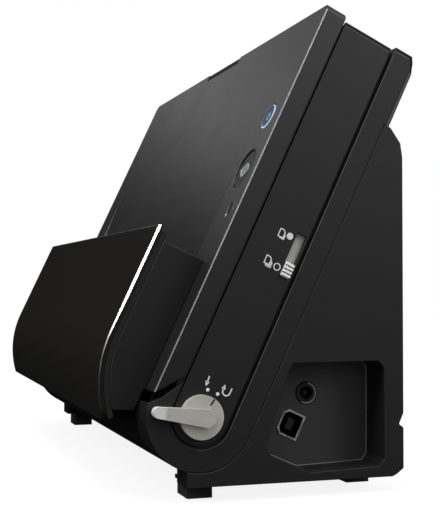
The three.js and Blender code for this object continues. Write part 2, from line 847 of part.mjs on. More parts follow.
function motorPulley() {
  const span = [-pulleyStart - pulleyWidth, -pulleyStart];
  const shaft = [-pulleyStart - seam, -frameInner + motorGap + motorLength / 2 - motorGap];
  const wheel = rod(motorPulleyRadius, span, motorPlace, rollerSides);
  return wheel.add(rod(motorShaftRadius, shaft, motorPlace, shaftSides));
}
slab.add(meshOf("motor_pulley", motorPulley(), steel));

function driveBelt() {
  const wheels = [
    [feedPlace, feedPulleyRadius],
    [registrationPlace, pulleyRadius],
    [ejectPlace, pulleyRadius],
    [motorPlace, motorPulleyRadius],
  ];
  const loop = (grow) => hull(wheels.flatMap(([place, radius]) => circle(place, radius + grow)));
  const span = [-pulleyStart - pulleyWidth + beltGap, -pulleyStart - beltGap];
  const cut = [span[0] - overrun, span[1] + overrun];
  return prism(loop(beltGap + beltThickness), span).subtract(prism(loop(beltGap), cut));
}
slab.add(meshOf("drive_belt", driveBelt(), rubber));

// Rear guide plate with its roller windows, guide slots and sensor window
const guidePitchZ = 153;
const guideSlotHalf = 3;
const guideSlotIn = 26;
const guideSlotMargin = 28;
const guideSlotOut = frameInner - guideSlotMargin;
const rackOffset = 8;
const rackFront = guideGap + guideThickness + seam;
const rackThickness = 2;
const rackBack = rackFront + rackThickness;
const supportIn = 25;
const supportHalf = frameInner - supportIn;
const supportRollerGap = 4;
const supportFoot = feedZ + feedRadius + supportRollerGap;
const supportRackGap = 1;
const supportFront = rackBack + supportRackGap;
const supportThickness = 3;
const extensionIn = 55;
const extensionHalf = supportHalf - extensionIn;
const extensionFootRise = 6;
const extensionFoot = supportFoot + extensionFootRise;
const extensionThickness = 2;
const supportBack = supportFront + supportThickness;
const extensionBack = supportBack + seam + extensionThickness;
const railWidth = 2.4;
const railLip = 4;
const pinionTeeth = 12;
const pinionModule = 1;
const pinionAxle = 2;

function windowHalf(radius, depth) {
  return Math.sqrt(radius ** 2 - (radius + pathHalfGap - depth) ** 2) + windowGap;
}

function rearGuidePlate() {
  const depth = [guideGap, guideGap + guideThickness];
  const cut = [depth[0] - overrun, depth[1] + overrun];
  let guide = block([-guideHalf, guideHalf], depth, [guideFoot, guideTop]);
  for (const [radius, half, [, z]] of Object.values(driven)) {
    guide = guide.subtract(block(around(0, half + windowGap), cut, around(z, windowHalf(radius, depth[1]))));
  }
  const glassHalf = [-sensorHalf - windowGap, sensorHalf + windowGap];
  guide = guide.subtract(block(glassHalf, cut, around(rearSensorZ, glassHalfHeight + windowGap)));
  for (const z of [guidePitchZ - rackOffset, guidePitchZ + rackOffset]) {
    for (const x of [[guideSlotIn, guideSlotOut], [-guideSlotOut, -guideSlotIn]]) {
      guide = guide.subtract(block(x, cut, around(z, guideSlotHalf)));
    }
  }
  const axle = [depth[0] + guideThickness / 2, rackBack];
  guide = guide.add(post(pinionAxle, axle, [0, guidePitchZ], smallSides));
  for (const side of [1, -1]) {
    const rail = [supportHalf + seam, supportHalf + seam + railWidth];
    const lip = [supportHalf - railLip, rail[1]];
    const back = extensionBack + seam;
    const z = [supportFoot, guideTop];
    const turned = side > 0 ? (span) => span : mirrored;
    guide = guide.add(block(turned(rail), [depth[0], back + railWidth], z));
    guide = guide.add(block(turned(lip), [back, back + railWidth], z));
  }
  return guide;
}
slab.add(meshOf("rear_guide_plate", rearGuidePlate(), darkPlastic));

// Feed support and its extension, both sliding up out of the top
const supportTop = 189;
const supportLipHalf = 40;
const extensionTop = 187;

function feedSupport() {
  const x = [-supportHalf, supportHalf];
  let support = block(x, [supportFront, supportBack], [supportFoot, supportTop]);
  const lipDepth = [rackFront, supportFront + supportThickness / 2];
  support = support.add(block([-supportLipHalf, supportLipHalf], lipDepth, [guideTop + seam, supportTop]));
  const rail = [extensionHalf + seam, extensionHalf + seam + railWidth];
  const railY = [supportBack - supportThickness / 2, extensionBack - seam];
  for (const span of [rail, mirrored(rail)]) {
    support = support.add(block(span, railY, [extensionFoot, extensionTop]));
  }
  return support;
}
slab.add(meshOf("feed_support", feedSupport(), darkPlastic));

function feedExtension() {
  const x = [-extensionHalf, extensionHalf];
  return block(x, [supportBack + seam, extensionBack], [extensionFoot, extensionTop]);
}
slab.add(meshOf("feed_extension", feedExtension(), darkPlastic));

// Document guides with their racks, and the pinion that couples them
const fenceMargin = 33;
const guideFenceX = frameInner - fenceMargin;
const fenceThickness = 2;
const fenceFront = -9;
const fenceFoot = 140;
const fenceTop = 184;
const guideShoe = 18;
const shoeThickness = 1.2;
const neckHalf = 3;
const rackEndX = -6;
const pitchRadius = (pinionModule * pinionTeeth) / 2;
const toothPitch = Math.PI * pinionModule;
const toothHalf = 0.6;
const toothTipHalf = 0.35;
const addendum = 0.8;
const dedendum = 1.1;
const rackBar = 3;

function rackOutline(side) {
  const root = pitchRadius + dedendum;
  const tip = pitchRadius - addendum;
  const points = [
    [guideFenceX - neckHalf, root + rackBar],
    [rackEndX, root + rackBar],
    [rackEndX, root],
  ];
  for (let i = -1; i * toothPitch < guideFenceX - guideShoe; i++) {
    const x = i * toothPitch;
    points.push([x - toothHalf, root], [x - toothTipHalf, tip]);
    points.push([x + toothTipHalf, tip], [x + toothHalf, root]);
  }
  points.push([guideFenceX - neckHalf, root]);
  return points.map(([x, z]) => [x, guidePitchZ + side * z]);
}

function documentGuide(side) {
  const front = guideGap - seam;
  let guide = block([guideFenceX, guideFenceX + fenceThickness], [fenceFront, front], [fenceFoot, fenceTop]);
  const shoe = [guideFenceX + fenceThickness - guideShoe, guideFenceX + fenceThickness];
  guide = guide.add(block(shoe, [front - shoeThickness, front], [fenceFoot, fenceTop]));
  const neckX = around(guideFenceX - neckHalf, neckHalf);
  const neckZ = around(guidePitchZ + side * rackOffset, guideSlotHalf - windowGap);
  guide = guide.add(block(neckX, [front - shoeThickness / 2, rackBack], neckZ));
  guide = guide.add(plate(rackOutline(side), [rackFront, rackBack]));
  return side > 0 ? guide : guide.mirror([1, 0, 0]);
}
slab.add(meshOf("document_guide_right", documentGuide(1), darkPlastic));
slab.add(meshOf("document_guide_left", documentGuide(-1), darkPlastic));

function guidePinion() {
  const points = [];
  const step = fullTurn / pinionTeeth;
  for (let i = 0; i < pinionTeeth; i++) {
    const centre = THREE.MathUtils.degToRad((i + 1 / 2) * step);
    for (const [radius, half] of [
      [pitchRadius - dedendum, -toothHalf],
      [pitchRadius + addendum, -toothTipHalf],
      [pitchRadius + addendum, toothTipHalf],
      [pitchRadius - dedendum, toothHalf],
    ]) {
      const angle = centre + half / radius;
      points.push([radius * Math.cos(angle), guidePitchZ + radius * Math.sin(angle)]);
    }
  }
  const bore = post(pinionAxle + runningGap, [0, rackBack + overrun], [0, guidePitchZ], smallSides);
  return plate(points, [rackFront, rackBack]).subtract(bore);
}
slab.add(meshOf("guide_pinion", guidePinion(), paleGrey));

// Scanning modules: a bar behind each guide plate with its glass in the plate's window
function sensorBar(y, z) {
  return block([-sensorBodyHalf, sensorBodyHalf], y, around(z, sensorBodyHalfHeight));
}

function sensorGlass(y, z) {
  return block([-sensorHalf, sensorHalf], y, around(z, glassHalfHeight));
}
const sensorFront = guideGap + guideThickness + seam;
const sensorSpan = [sensorFront, sensorFront + sensorDepth];
const glassDepth = [guideGap + seam, guideGap + seam + glassThickness];
slab.add(meshOf("rear_image_sensor", sensorBar(sensorSpan, rearSensorZ), darkPlastic));
slab.add(meshOf("rear_sensor_glass", sensorGlass(glassDepth, rearSensorZ), clearGlass));

// Front cover: a shell with a recess that deepens downwards, open at the back
const bearingIn = 40;
const bearingX = frameInner - bearingIn;
const bearingWidth = 4;
const bearingHalf = 4;
const boardBossRadius = 2.5;
const bossInner = 27.5;
const bossOuter = 8;
const bossHigh = 144;
const bossLow = 84;
const boardBosses = [
  [halfWidth - bossInner, bossHigh],
  [halfWidth - bossOuter, bossLow],
];
const coverFoot = 1;
const coverSideFoot = 13.65;
const coverEdge = 2.5;
const recessLeftIn = 24;
const recessRightIn = 30;
const recessLeft = recessLeftIn - halfWidth;
const recessRight = halfWidth - recessRightIn;
const recessTop = 130;
const recessDepth = 8;
const recessSteps = 10;
const powerIn = 15.3;
const powerHigh = 136.4;
const powerPlace = [halfWidth - powerIn, powerHigh];
const powerRadius = 5.2;
const ringWidth = 0.6;
const ringGap = 0.35;
const startIn = 16;
const startHigh = 109.5;
const startPlace = [halfWidth - startIn, startHigh];
const startRadius = 9.5;
const startSink = 0.5;
const buttonGap = 0.3;
const buttonTravel = 1;
const lampIn = 11.4;
const lampHigh = 88.4;
const lampPlace = [halfWidth - lampIn, lampHigh];
const lampHalfWidth = 0.9;
const lampHalfHeight = 3;
const leverHalf = 28;
const leverDepth = 7;
const leverHeight = 4;

const coverBack = -rimInner;
const lampProud = 0.3;
const ringProud = 0.2;
const ringInner = powerRadius + buttonGap;
const ringOuter = ringInner + ringWidth;
const buttonHollow = 1.2;
const controlBoardDepth = 1.6;
const controlBoardIn = 32;
const controlBoardEdge = 4;
const controlBoardLow = 78;
const controlBoardHigh = 148;
const controlBoardX = [halfWidth - controlBoardIn, halfWidth - controlBoardEdge];
const controlBoardZ = [controlBoardLow, controlBoardHigh];
const buttonFlange = 1.2;
const buttonStem = 2.4;
const stemGap = 1.3;

const controlBoardFront = -coverFront + wall + stemGap + buttonFlange + buttonTravel + buttonHollow;

// The recess deepens as the square of the way down, so that no edge shows at its top.
function coverRecess(grow) {
  const outline = [[-coverFront - overrun, recessTop]];
  for (let i = 0; i <= recessSteps; i++) {
    const share = i / recessSteps;
    const depth = recessDepth * share ** 2 + grow;
    outline.push([depth - coverFront, recessTop - share * (recessTop - coverFoot)]);
  }
  outline.push([recessDepth + grow - coverFront, coverFoot - overrun]);
  outline.push([-coverFront - overrun, coverFoot - overrun]);
  return prism(outline, [recessLeft - grow, recessRight + grow]);
}

function frontCover() {
  const outline = [
    [coverBack, coverSideFoot],
    [-coverFront, coverFoot],
    [-coverFront, coverTop],
    [coverBack, coverTop],
  ];
  const hollow = [
    [coverBack + overrun, coverFoot - overrun],
    [-coverFront + wall, coverFoot - overrun],
    [-coverFront + wall, coverTop - wall],
    [coverBack + overrun, coverTop - wall],
  ];
  let cover = prism(outline, [-halfWidth, halfWidth]).subtract(coverRecess(0));
  cover = cover.subtract(prism(hollow, [-innerWidth, innerWidth]).subtract(coverRecess(wall)));
  const topCorner = [
    [halfWidth - coverEdge, coverTop],
    [halfWidth, coverTop - coverEdge],
    [halfWidth + overrun, coverTop - coverEdge],
    [halfWidth + overrun, coverTop + overrun],
    [halfWidth - coverEdge, coverTop + overrun],
  ];
  const through = [-coverFront - overrun, coverBack + overrun];
  cover = cover.subtract(plate(topCorner, through));
  cover = cover.subtract(plate(topCorner.map(([x, z]) => [-x, z]), through));
  const hole = [-coverFront - overrun, -coverFront + wall + overrun];
  cover = cover.subtract(post(ringOuter + ringGap, hole, powerPlace));
  cover = cover.subtract(post(startRadius + buttonGap, hole, startPlace));
  const lampZ = around(lampPlace[1], lampHalfHeight + buttonGap);
  cover = cover.subtract(block(around(lampPlace[0], lampHalfWidth + buttonGap), hole, lampZ));
  const leverZ = [coverTop - leverHeight - seam, coverTop + overrun];
  cover = cover.subtract(block([-leverHalf - seam, leverHalf + seam], through, leverZ));
  const bossY = [-coverFront + wall / 2, controlBoardFront - seam];
  for (const place of boardBosses) {
    cover = cover.add(post(boardBossRadius, bossY, place, smallSides));
  }
  const bearingY = [-coverFront + wall / 2, latchY + bearingHalf];
  const bearing = [bearingX, bearingX + bearingWidth];
  for (const x of [bearing, mirrored(bearing)]) {
    cover = cover.add(block(x, bearingY, around(latchZ, bearingHalf)));
  }
  const latchBore = latchBarRadius + runningGap;
  return cover.subtract(rod(latchBore, [-innerWidth, innerWidth], [latchY, latchZ], smallSides));
}
const unit = new THREE.Group();
slab.add(unit);
unit.add(meshOf("front_cover", frontCover(), coverFinish));

// Front guide plate: it carries the hinge arms, the idle rollers and the cover
const frontPlateHalf = hingeArmX + hingeArmWidth;
const frontPlateTop = 124;
const frontPlateFoot = 12;
const armBossRadius = 4;
const ribIn = 7;
const ribX = frontPlateHalf - ribIn;
const ribWidth = 2.4;
const ribFoot = 24;
const ribTop = 74;
const separationRadius = 8;
const pinchRadius = 5;
const idleShaftRadius = 2;
const bracketWidth = 3;
const bracketGap = 0.5;
const bracketReach = 3;

const separationPlace = [-separationRadius - pathHalfGap, feedZ];
const pinchPlace = [-pinchRadius - pathHalfGap, registrationZ];
const ejectPinchPlace = [-pinchRadius - pathHalfGap, ejectZ];
const idle = {
  separation: [separationRadius, feedHalf, separationPlace],
  registration_pinch: [pinchRadius, driveHalf, pinchPlace],
  eject_pinch: [pinchRadius, driveHalf, ejectPinchPlace],
};

function frontGuidePlate() {
  const depth = [-guideGap - guideThickness, -guideGap];
  const cut = [depth[0] - overrun, depth[1] + overrun];
  let guide = block([-frontPlateHalf, frontPlateHalf], depth, [frontPlateFoot, frontPlateTop]);
  for (const [radius, half, [, z]] of Object.values(idle)) {
    const windowZ = around(z, windowHalf(radius, guideGap + guideThickness));
    guide = guide.subtract(block(around(0, half + windowGap), cut, windowZ));
  }
  const glassX = [-sensorHalf - windowGap, sensorHalf + windowGap];
  guide = guide.subtract(block(glassX, cut, around(frontSensorZ, glassHalfHeight + windowGap)));
  for (const [radius, half, [y, z]] of Object.values(idle)) {
    const inner = half + windowGap + bracketGap;
    const bracketY = [y - idleShaftRadius - bracketReach, depth[1] - guideThickness / 2];
    const bracketZ = around(z, idleShaftRadius + bracketReach);
    for (const x of [[inner, inner + bracketWidth], [-inner - bracketWidth, -inner]]) {
      const hole = rod(idleShaftRadius + runningGap, [x[0] - overrun, x[1] + overrun], [y, z], smallSides);
      guide = guide.add(block(x, bracketY, bracketZ)).subtract(hole);
    }
  }
  const pivot = [hingePivotY, hingePivotZ];
  const armX = [hingeArmX, hingeArmX + hingeArmWidth];
  const arm = hull([
    ...circle(pivot, armBossRadius),
    [depth[0], frontPlateFoot],
    [depth[1], frontPlateFoot + armBossRadius],
    [depth[0], frontPlateFoot + armBossRadius * 2],
  ]);
  const ribZ = [ribFoot, ribTop];
  const ribY = [-coverFront + wall + seam, depth[1] - guideThickness / 2];
  for (const turned of [(span) => span, mirrored]) {
    const hole = rod(hingePinRadius + runningGap, [-bodyWidth, bodyWidth], pivot, smallSides);
    guide = guide.add(prism(arm, turned(armX)).subtract(hole));
    guide = guide.add(block(turned([ribX, ribX + ribWidth]), ribY, ribZ));
  }
  return guide;
}
unit.add(meshOf("front_guide_plate", frontGuidePlate(), darkPlastic));

for (const [name, [radius, half, place]] of Object.entries(idle)) {
  const reach = half + windowGap + bracketGap + bracketWidth + shaftOver;
  const shaft = rod(idleShaftRadius, [-reach, reach], place, shaftSides);
  const roller = rod(radius, [-half, half], place, rollerSides).add(shaft);
  unit.add(meshOf(name + "_roller", roller, rubber));
}
unit.add(meshOf("front_image_sensor", sensorBar(mirrored(sensorSpan), frontSensorZ), darkPlastic));
unit.add(meshOf("front_sensor_glass", sensorGlass(mirrored(glassDepth), frontSensorZ), clearGlass));

// Open lever in the cover's top notch, on a latch bar whose hooks catch the frames
const latchHookWidth = 3;
const latchHookReach = 14;
const leverStem = 12;

function openLever() {
  const z = [coverTop - leverHeight, coverTop - seam];
  const lever = block([-leverHalf, leverHalf], [-coverFront + seam, -coverFront + seam + leverDepth], z);
  const stemZ = [latchZ + latchBarRadius + seam, z[1] - leverHeight / 2];
  return lever.add(block([-leverStem, leverStem], around(latchY, latchBarRadius), stemZ));
}
unit.add(meshOf("open_lever", openLever(), darkPlastic));

function latchBar() {
  let bar = rod(latchBarRadius, [-latchBarHalf, latchBarHalf], [latchY, latchZ], smallSides);
  const hook = [
    [latchY - latchBarRadius, latchZ - latchBarRadius],
    [latchY + latchHookReach, latchZ],
    [latchY + latchHookReach, latchZ + latchBarRadius],
    [latchY - latchBarRadius, latchZ + latchBarRadius],
  ];
  const hookX = [latchBarHalf - latchHookWidth, latchBarHalf];
  bar = bar.add(prism(hook, hookX));
  return bar.add(prism(hook, mirrored(hookX)));
}
unit.add(meshOf("latch_bar", latchBar(), steel));

// Buttons, light ring, status window and the control board behind them
function pushButton(radius, place, sink) {
  const face = -coverFront + sink;
  const back = -coverFront + wall + seam;
  let button = post(radius, [face, back + buttonFlange], place);
  button = button.add(post(radius + buttonGap + buttonFlange, [back, back + buttonFlange], place));
  return button.add(post(buttonStem, [back, controlBoardFront - buttonTravel - seam], place, smallSides));
}
unit.add(meshOf("power_button", pushButton(powerRadius, powerPlace, 0), coverFinish));
unit.add(meshOf("start_button", pushButton(startRadius, startPlace, startSink), coverFinish));

function lightRing() {
  const y = [-coverFront - ringProud, -coverFront + wall];
  const bore = [y[0] - overrun, y[1] + overrun];
  return post(ringOuter, y, powerPlace).subtract(post(ringInner, bore, powerPlace));
}
unit.add(meshOf("power_light_ring", lightRing(), blueLight));

function controlBoard() {
  return block(controlBoardX, [controlBoardFront, controlBoardFront + controlBoardDepth], controlBoardZ);
}
unit.add(meshOf("control_board", controlBoard(), boardGreen));

function statusWindow() {
  const y = [-coverFront - lampProud, -coverFront + wall];
  return block(around(lampPlace[0], lampHalfWidth), y, around(lampPlace[1], lampHalfHeight));
}
unit.add(meshOf("status_window", statusWindow(), clearGlass));

// Eject tray in front of the cover: side walls, floor, backing, glossy panel and a sliding support
const trayLeftIn = 12;
const trayRightIn = 15;
const trayLeft = trayLeftIn - halfWidth;
const trayRight = halfWidth - trayRightIn;
const trayWall = 3;
const trayWallTop = 63.5;
const trayWallFoot = -9;
const trayArcTrim = 4;
const panelFront = 48.5;
const panelHigh = 69.4;
const panelArcStart = 18;
const panelArcRadius = 55;
const panelArcEnd = 41.6;
const panelArcSteps = 12;
const fasciaThickness = 2;
const backingThickness = 2.4;
const panelLeft = -halfWidth;
const ejectSupportIn = 30;
const ejectSupportX = trayRight - ejectSupportIn;
const ejectSupportThickness = 2.2;
const ejectSupportFoot = 17;
const ejectSupportTop = 66;
const trayBottomThickness = 2;

function panelLayer(outer, thickness, top, x) {
  const centre = [-(panelFront - panelArcRadius), panelArcStart];
  const radius = panelArcRadius - outer;
  const outline = [
    [-panelFront + outer, top],
    ...arc(centre, radius, halfTurn, halfTurn + panelArcEnd, panelArcSteps),
    ...arc(centre, radius - thickness, halfTurn + panelArcEnd, halfTurn, panelArcSteps),
    [-panelFront + outer + thickness, top],
  ];
  return prism(outline, x);
}
const backingFront = fasciaThickness + seam;
const backingBack = backingFront + backingThickness;
const ejectPanel = panelLayer(0, fasciaThickness, panelHigh, [panelLeft, trayRight]);
unit.add(meshOf("eject_panel", ejectPanel, glossBlack));

function ejectPanelBack() {
  const width = [panelLeft + wall, trayRight - seam];
  let back = panelLayer(backingFront, backingThickness, panelHigh - wall, width);
  const railY = -panelFront + backingBack;
  const slide = [railY - backingThickness / 2, railY + seam + ejectSupportThickness + seam + railWidth];
  const lipY = [slide[1] - railWidth, slide[1]];
  const z = [panelArcStart, ejectSupportTop - railWidth];
  for (const turned of [(span) => span, mirrored]) {
    back = back.add(block(turned([ejectSupportX + seam, ejectSupportX + seam + railWidth]), slide, z));
    back = back.add(block(turned([ejectSupportX - railLip, ejectSupportX + seam + railWidth]), lipY, z));
  }
  return back;
}
unit.add(meshOf("eject_panel_back", ejectPanelBack(), darkPlastic));

function ejectSupport() {
  const front = -panelFront + backingBack + seam;
  const x = [-ejectSupportX, ejectSupportX];
  return block(x, [front, front + ejectSupportThickness], [ejectSupportFoot, ejectSupportTop]);
}
unit.add(meshOf("eject_support", ejectSupport(), darkPlastic));

function ejectTray() {
  const centre = [-(panelFront - panelArcRadius), panelArcStart];
  const front = backingBack + seam;
  const arcEnd = halfTurn + panelArcEnd - trayArcTrim;
  const heel = [-slabEndRadius - seam, trayWallFoot];
  const curve = arc(centre, panelArcRadius - front, halfTurn, arcEnd, panelArcSteps);
  const side = [
    [-coverFront - seam, trayWallTop],
    [-panelFront + front, trayWallTop],
    ...curve,
    heel,
    [heel[0], coverFoot],
    [-coverFront - seam, coverFoot],
  ];
  const right = [trayRight - trayWall - seam, trayRight - seam];
  const left = [trayLeft, trayLeft + trayWall];
  let tray = prism(side, right).add(prism(side, left));
  const low = curve.at(-1);
  const floor = [low, heel, [heel[0], heel[1] + trayBottomThickness], [low[0], low[1] + trayBottomThickness]];
  tray = tray.add(prism(floor, [left[0] + trayWall / 2, right[1] - trayWall / 2]));
  return tray;
}
unit.add(meshOf("eject_tray", ejectTray(), darkPlastic));

// The origin is the middle of the scanner's footprint, on the surface that it stands on.
const middle = new THREE.Box3().setFromObject(scanner, true).getCenter(new THREE.Vector3());
scanner.position.set(-middle.x, -middle.y, 0);

export default scanner;
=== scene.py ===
import math

import bmesh
import bpy
from mathutils import Matrix, Vector


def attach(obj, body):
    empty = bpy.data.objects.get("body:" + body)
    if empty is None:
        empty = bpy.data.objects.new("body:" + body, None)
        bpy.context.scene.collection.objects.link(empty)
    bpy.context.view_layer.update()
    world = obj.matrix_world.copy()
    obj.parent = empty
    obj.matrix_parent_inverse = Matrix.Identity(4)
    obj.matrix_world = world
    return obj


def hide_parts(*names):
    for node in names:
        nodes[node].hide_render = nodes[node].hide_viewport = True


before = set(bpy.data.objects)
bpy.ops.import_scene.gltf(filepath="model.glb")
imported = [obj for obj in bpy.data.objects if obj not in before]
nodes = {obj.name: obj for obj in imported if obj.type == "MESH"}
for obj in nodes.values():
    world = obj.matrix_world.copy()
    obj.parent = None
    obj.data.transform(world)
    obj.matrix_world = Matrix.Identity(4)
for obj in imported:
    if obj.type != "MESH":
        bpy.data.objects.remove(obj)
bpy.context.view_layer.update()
mm = 0.001
print("frame loaded:", len(nodes), "nodes")

# the slab leans back; its own axes start at the path knob's shaft
slab = {
    "lean": 25.2,                       # degrees
    "axisBack": -30.586 * mm,           # y of the knob's axis
    "axisHigh": 36.6 * mm,
    "shiftX": -2.4 * mm,                # the body's middle, left of the frame's
    # faces that carry signs, in millimetres
    "coverFront": -23.5,
    "panelSide": 149.6,
    "bandSide": 150.0,
}
slabPlace = (
    Matrix.Translation((slab["shiftX"], slab["axisBack"], slab["axisHigh"]))
    @ Matrix.Rotation(-math.radians(slab["lean"]), 4, "X")
)


def onSlab(x, back, up):
    # millimetres on the slab to metres in the frame
    return slabPlace @ Vector((x * mm, back * mm, up * mm))


def onSide(x, sign=1):
    # marks on a face that looks to the right, or to the left: across is towards the back
    return lambda across, up, lift: onSlab(sign * (x + lift), across, up)


def onCover(across, up, lift):
    return onSlab(across, slab["coverFront"] - lift, up)


# camera, floor and light
shot = {
    "place": (0.59528, -0.16850, 0.09274),
    "azimuth": 71.88,
    "elevation": -1.76,
    "roll": 0.04,
    "lens": 77.6,
    "floorSize": 6.0,
    "floorTone": 0.12,
    "floorLift": 0.88,                  # lifts the paper to white where it is seen
    "floorMirrored": 0.008,             # its tone in reflections: the photograph shows it dark
    "horizonTilt": (0.2, 0, 1),         # the mirrored sweep starts lower on the right
    # where the mirrored sweep starts and ends brightening, and its level
    "leftRise": (0.065, 0.145, 0.5),
    "rightRise": (0.06, 0.42, 1.0),
    "leftFades": (0.14, 0.3, 0.48),     # where it starts and ends fading again, and to what share
    "sweepDark": 0.01,
    "sidesMeet": (-0.5, 0.5),           # the left sweep turns into the right one between these
    "fillStrength": 0.72,
}


def makeCamera():
    data = bpy.data.cameras.new("shotCamera")
    camera = bpy.data.objects.new("shotCamera", data)
    bpy.context.collection.objects.link(camera)
    a, e = math.radians(shot["azimuth"]), math.radians(shot["elevation"])
    back = Vector((math.sin(a) * math.cos(e), -math.cos(a) * math.cos(e), math.sin(e)))
    right = Vector((0, 0, 1)).cross(back).normalized()
    up = back.cross(right)
    turn = Matrix((right, up, back)).transposed().to_4x4()
    roll = Matrix.Rotation(math.radians(shot["roll"]), 4, "Z")
    camera.matrix_world = Matrix.Translation(shot["place"]) @ turn @ roll
    data.sensor_width = 36
    data.lens = shot["lens"]
    data.clip_start = 0.01
    bpy.context.scene.camera = camera


def ramp(tree, value, low, high, fromLow=0.3, fromHigh=0.7):
    node = tree.nodes.new("ShaderNodeMapRange")
    node.inputs["From Min"].default_value = fromLow
    node.inputs["From Max"].default_value = fromHigh
    node.inputs["To Min"].default_value = low
    node.inputs["To Max"].default_value = high
    tree.links.new(value, node.inputs["Value"])
    return node.outputs[0]


def seenDirectly(tree, *kinds):
    # 1 for a ray of any of these kinds, which see the white background
    rays = tree.nodes.new("ShaderNodeLightPath")
    found = rays.outputs[kinds[0]]
    for kind in kinds[1:]:
        either = tree.nodes.new("ShaderNodeMath")
        either.operation = "MAXIMUM"
        tree.links.new(found, either.inputs[0])
        tree.links.new(rays.outputs[kind], either.inputs[1])
        found = either.outputs[0]
    return found


def makeFloor():
    bpy.ops.mesh.primitive_plane_add(size=shot["floorSize"], location=(0, 0, -0.0004))
    floor = bpy.context.object
    floor.name = "studioFloor"
    material = bpy.data.materials.new("palePaper")
    material.use_nodes = True
    tree = material.node_tree
    shader = tree.nodes["Principled BSDF"]
    tone = shot["floorTone"]
    shader.inputs["Base Color"].default_value = (tone, tone, tone, 1)
    shader.inputs["Roughness"].default_value = 0.75
    # lifts the paper to white and leaves the shadow on it
    lift = tree.nodes.new("ShaderNodeEmission")
    both = tree.nodes.new("ShaderNodeAddShader")
    direct = ramp(tree, seenDirectly(tree, "Is Camera Ray", "Is Transmission Ray"), 0, shot["floorLift"], 0, 1)
    tree.links.new(direct, lift.inputs["Strength"])
    tree.links.new(shader.outputs[0], both.inputs[0])
    tree.links.new(lift.outputs[0], both.inputs[1])
    mirrored = tree.nodes.new("ShaderNodeEmission")
    mirrored.inputs["Strength"].default_value = shot["floorMirrored"]
    pick = tree.nodes.new("ShaderNodeMixShader")
    tree.links.new(seenDirectly(tree, "Is Glossy Ray"), pick.inputs[0])
    tree.links.new(both.outputs[0], pick.inputs[1])
    tree.links.new(mirrored.outputs[0], pick.inputs[2])
    tree.links.new(pick.outputs[0], tree.nodes["Material Output"].inputs["Surface"])
    floor.data.materials.append(material)


def makeWorld():
    world = bpy.data.worlds.new("studioWorld")
    bpy.context.scene.world = world
    world.use_nodes = True
    tree = world.node_tree
    plain = tree.nodes["Background"]
    plain.inputs["Color"].default_value = (1, 1, 1, 1)
    plain.inputs["Strength"].default_value = shot["fillStrength"]
    white = tree.nodes.new("ShaderNodeBackground")
    white.inputs["Color"].default_value = (1, 1, 1, 1)
    white.inputs["Strength"].default_value = 1
    # reflections see the white sweep overhead, darker near the floor and on the left
    sweep = tree.nodes.new("ShaderNodeBackground")
    where = tree.nodes.new("ShaderNodeTexCoord").outputs["Generated"]
    height = tree.nodes.new("ShaderNodeVectorMath")
    height.operation = "DOT_PRODUCT"
    height.inputs[1].default_value = shot["horizonTilt"]
    tree.links.new(where, height.inputs[0])
    parts = tree.nodes.new("ShaderNodeSeparateXYZ")
    tree.links.new(where, parts.inputs[0])
    level = tree.nodes.new("ShaderNodeMix")
    tree.links.new(ramp(tree, parts.outputs["X"], 0.0, 1.0, *shot["sidesMeet"]), level.inputs["Factor"])
    for side, name in (("A", "leftRise"), ("B", "rightRise")):
        start, end, top = shot[name]
        rise = ramp(tree, height.outputs["Value"], shot["sweepDark"], top, start, end)
        rise.node.interpolation_type = "SMOOTHSTEP"
        if name == "leftRise":
            start, end, share = shot["leftFades"]
            fading = tree.nodes.new("ShaderNodeMath")
            fading.operation = "MULTIPLY"
            tree.links.new(rise, fading.inputs[0])
            tree.links.new(ramp(tree, height.outputs["Value"], 1.0, share, start, end), fading.inputs[1])
            rise = fading.outputs[0]
        tree.links.new(rise, level.inputs[side])
    tree.links.new(level.outputs["Result"], sweep.inputs["Strength"])
    sweep.inputs["Color"].default_value = (1, 1, 1, 1)
    first = tree.nodes.new("ShaderNodeMixShader")
    second = tree.nodes.new("ShaderNodeMixShader")
    tree.links.new(seenDirectly(tree, "Is Glossy Ray"), first.inputs[0])
    tree.links.new(plain.outputs[0], first.inputs[1])
    tree.links.new(sweep.outputs[0], first.inputs[2])
    tree.links.new(seenDirectly(tree, "Is Camera Ray", "Is Transmission Ray"), second.inputs[0])
    tree.links.new(first.outputs[0], second.inputs[1])
    tree.links.new(white.outputs[0], second.inputs[2])
    tree.links.new(second.outputs[0], tree.nodes["World Output"].inputs["Surface"])


softLights = {
    # name: place, target, size in metres, power in watts
    "topSoftbox": ((0.3, -0.2, 1.3), (0, 0, 0.1), (0.9, 0.8), 13),
    "edgeBox": ((0.35, -0.85, 0.75), (0.1, -0.05, 0.12), (0.3, 0.3), 5.5),
    "backStrip": ((0.9, 0.7, 0.7), (0.1, 0, 0.1), (0.3, 0.6), 3.5),
}


def makeLights():
    for name, (place, target, size, power) in softLights.items():
        data = bpy.data.lights.new(name, "AREA")
        data.shape = "RECTANGLE"
        data.size, data.size_y = size
        data.energy = power
        lamp = bpy.data.objects.new(name, data)
        bpy.context.collection.objects.link(lamp)
        lamp.location = place
        aim = Vector(target) - Vector(place)
        lamp.rotation_euler = aim.to_track_quat("-Z", "Y").to_euler()


bpy.context.scene.view_settings.view_transform = "Standard"
makeCamera()
makeFloor()
makeWorld()
makeLights()
print("camera, floor and lights made")


# materials
def newMaterial(name, roughness, metallic=0.0):
    material = bpy.data.materials.new(name)
    material.use_nodes = True
    tree = material.node_tree
    shader = tree.nodes["Principled BSDF"]
    shader.inputs["Roughness"].default_value = roughness
    shader.inputs["Metallic"].default_value = metallic
    where = tree.nodes.new("ShaderNodeTexCoord").outputs["Object"]
    return material, tree, shader, where


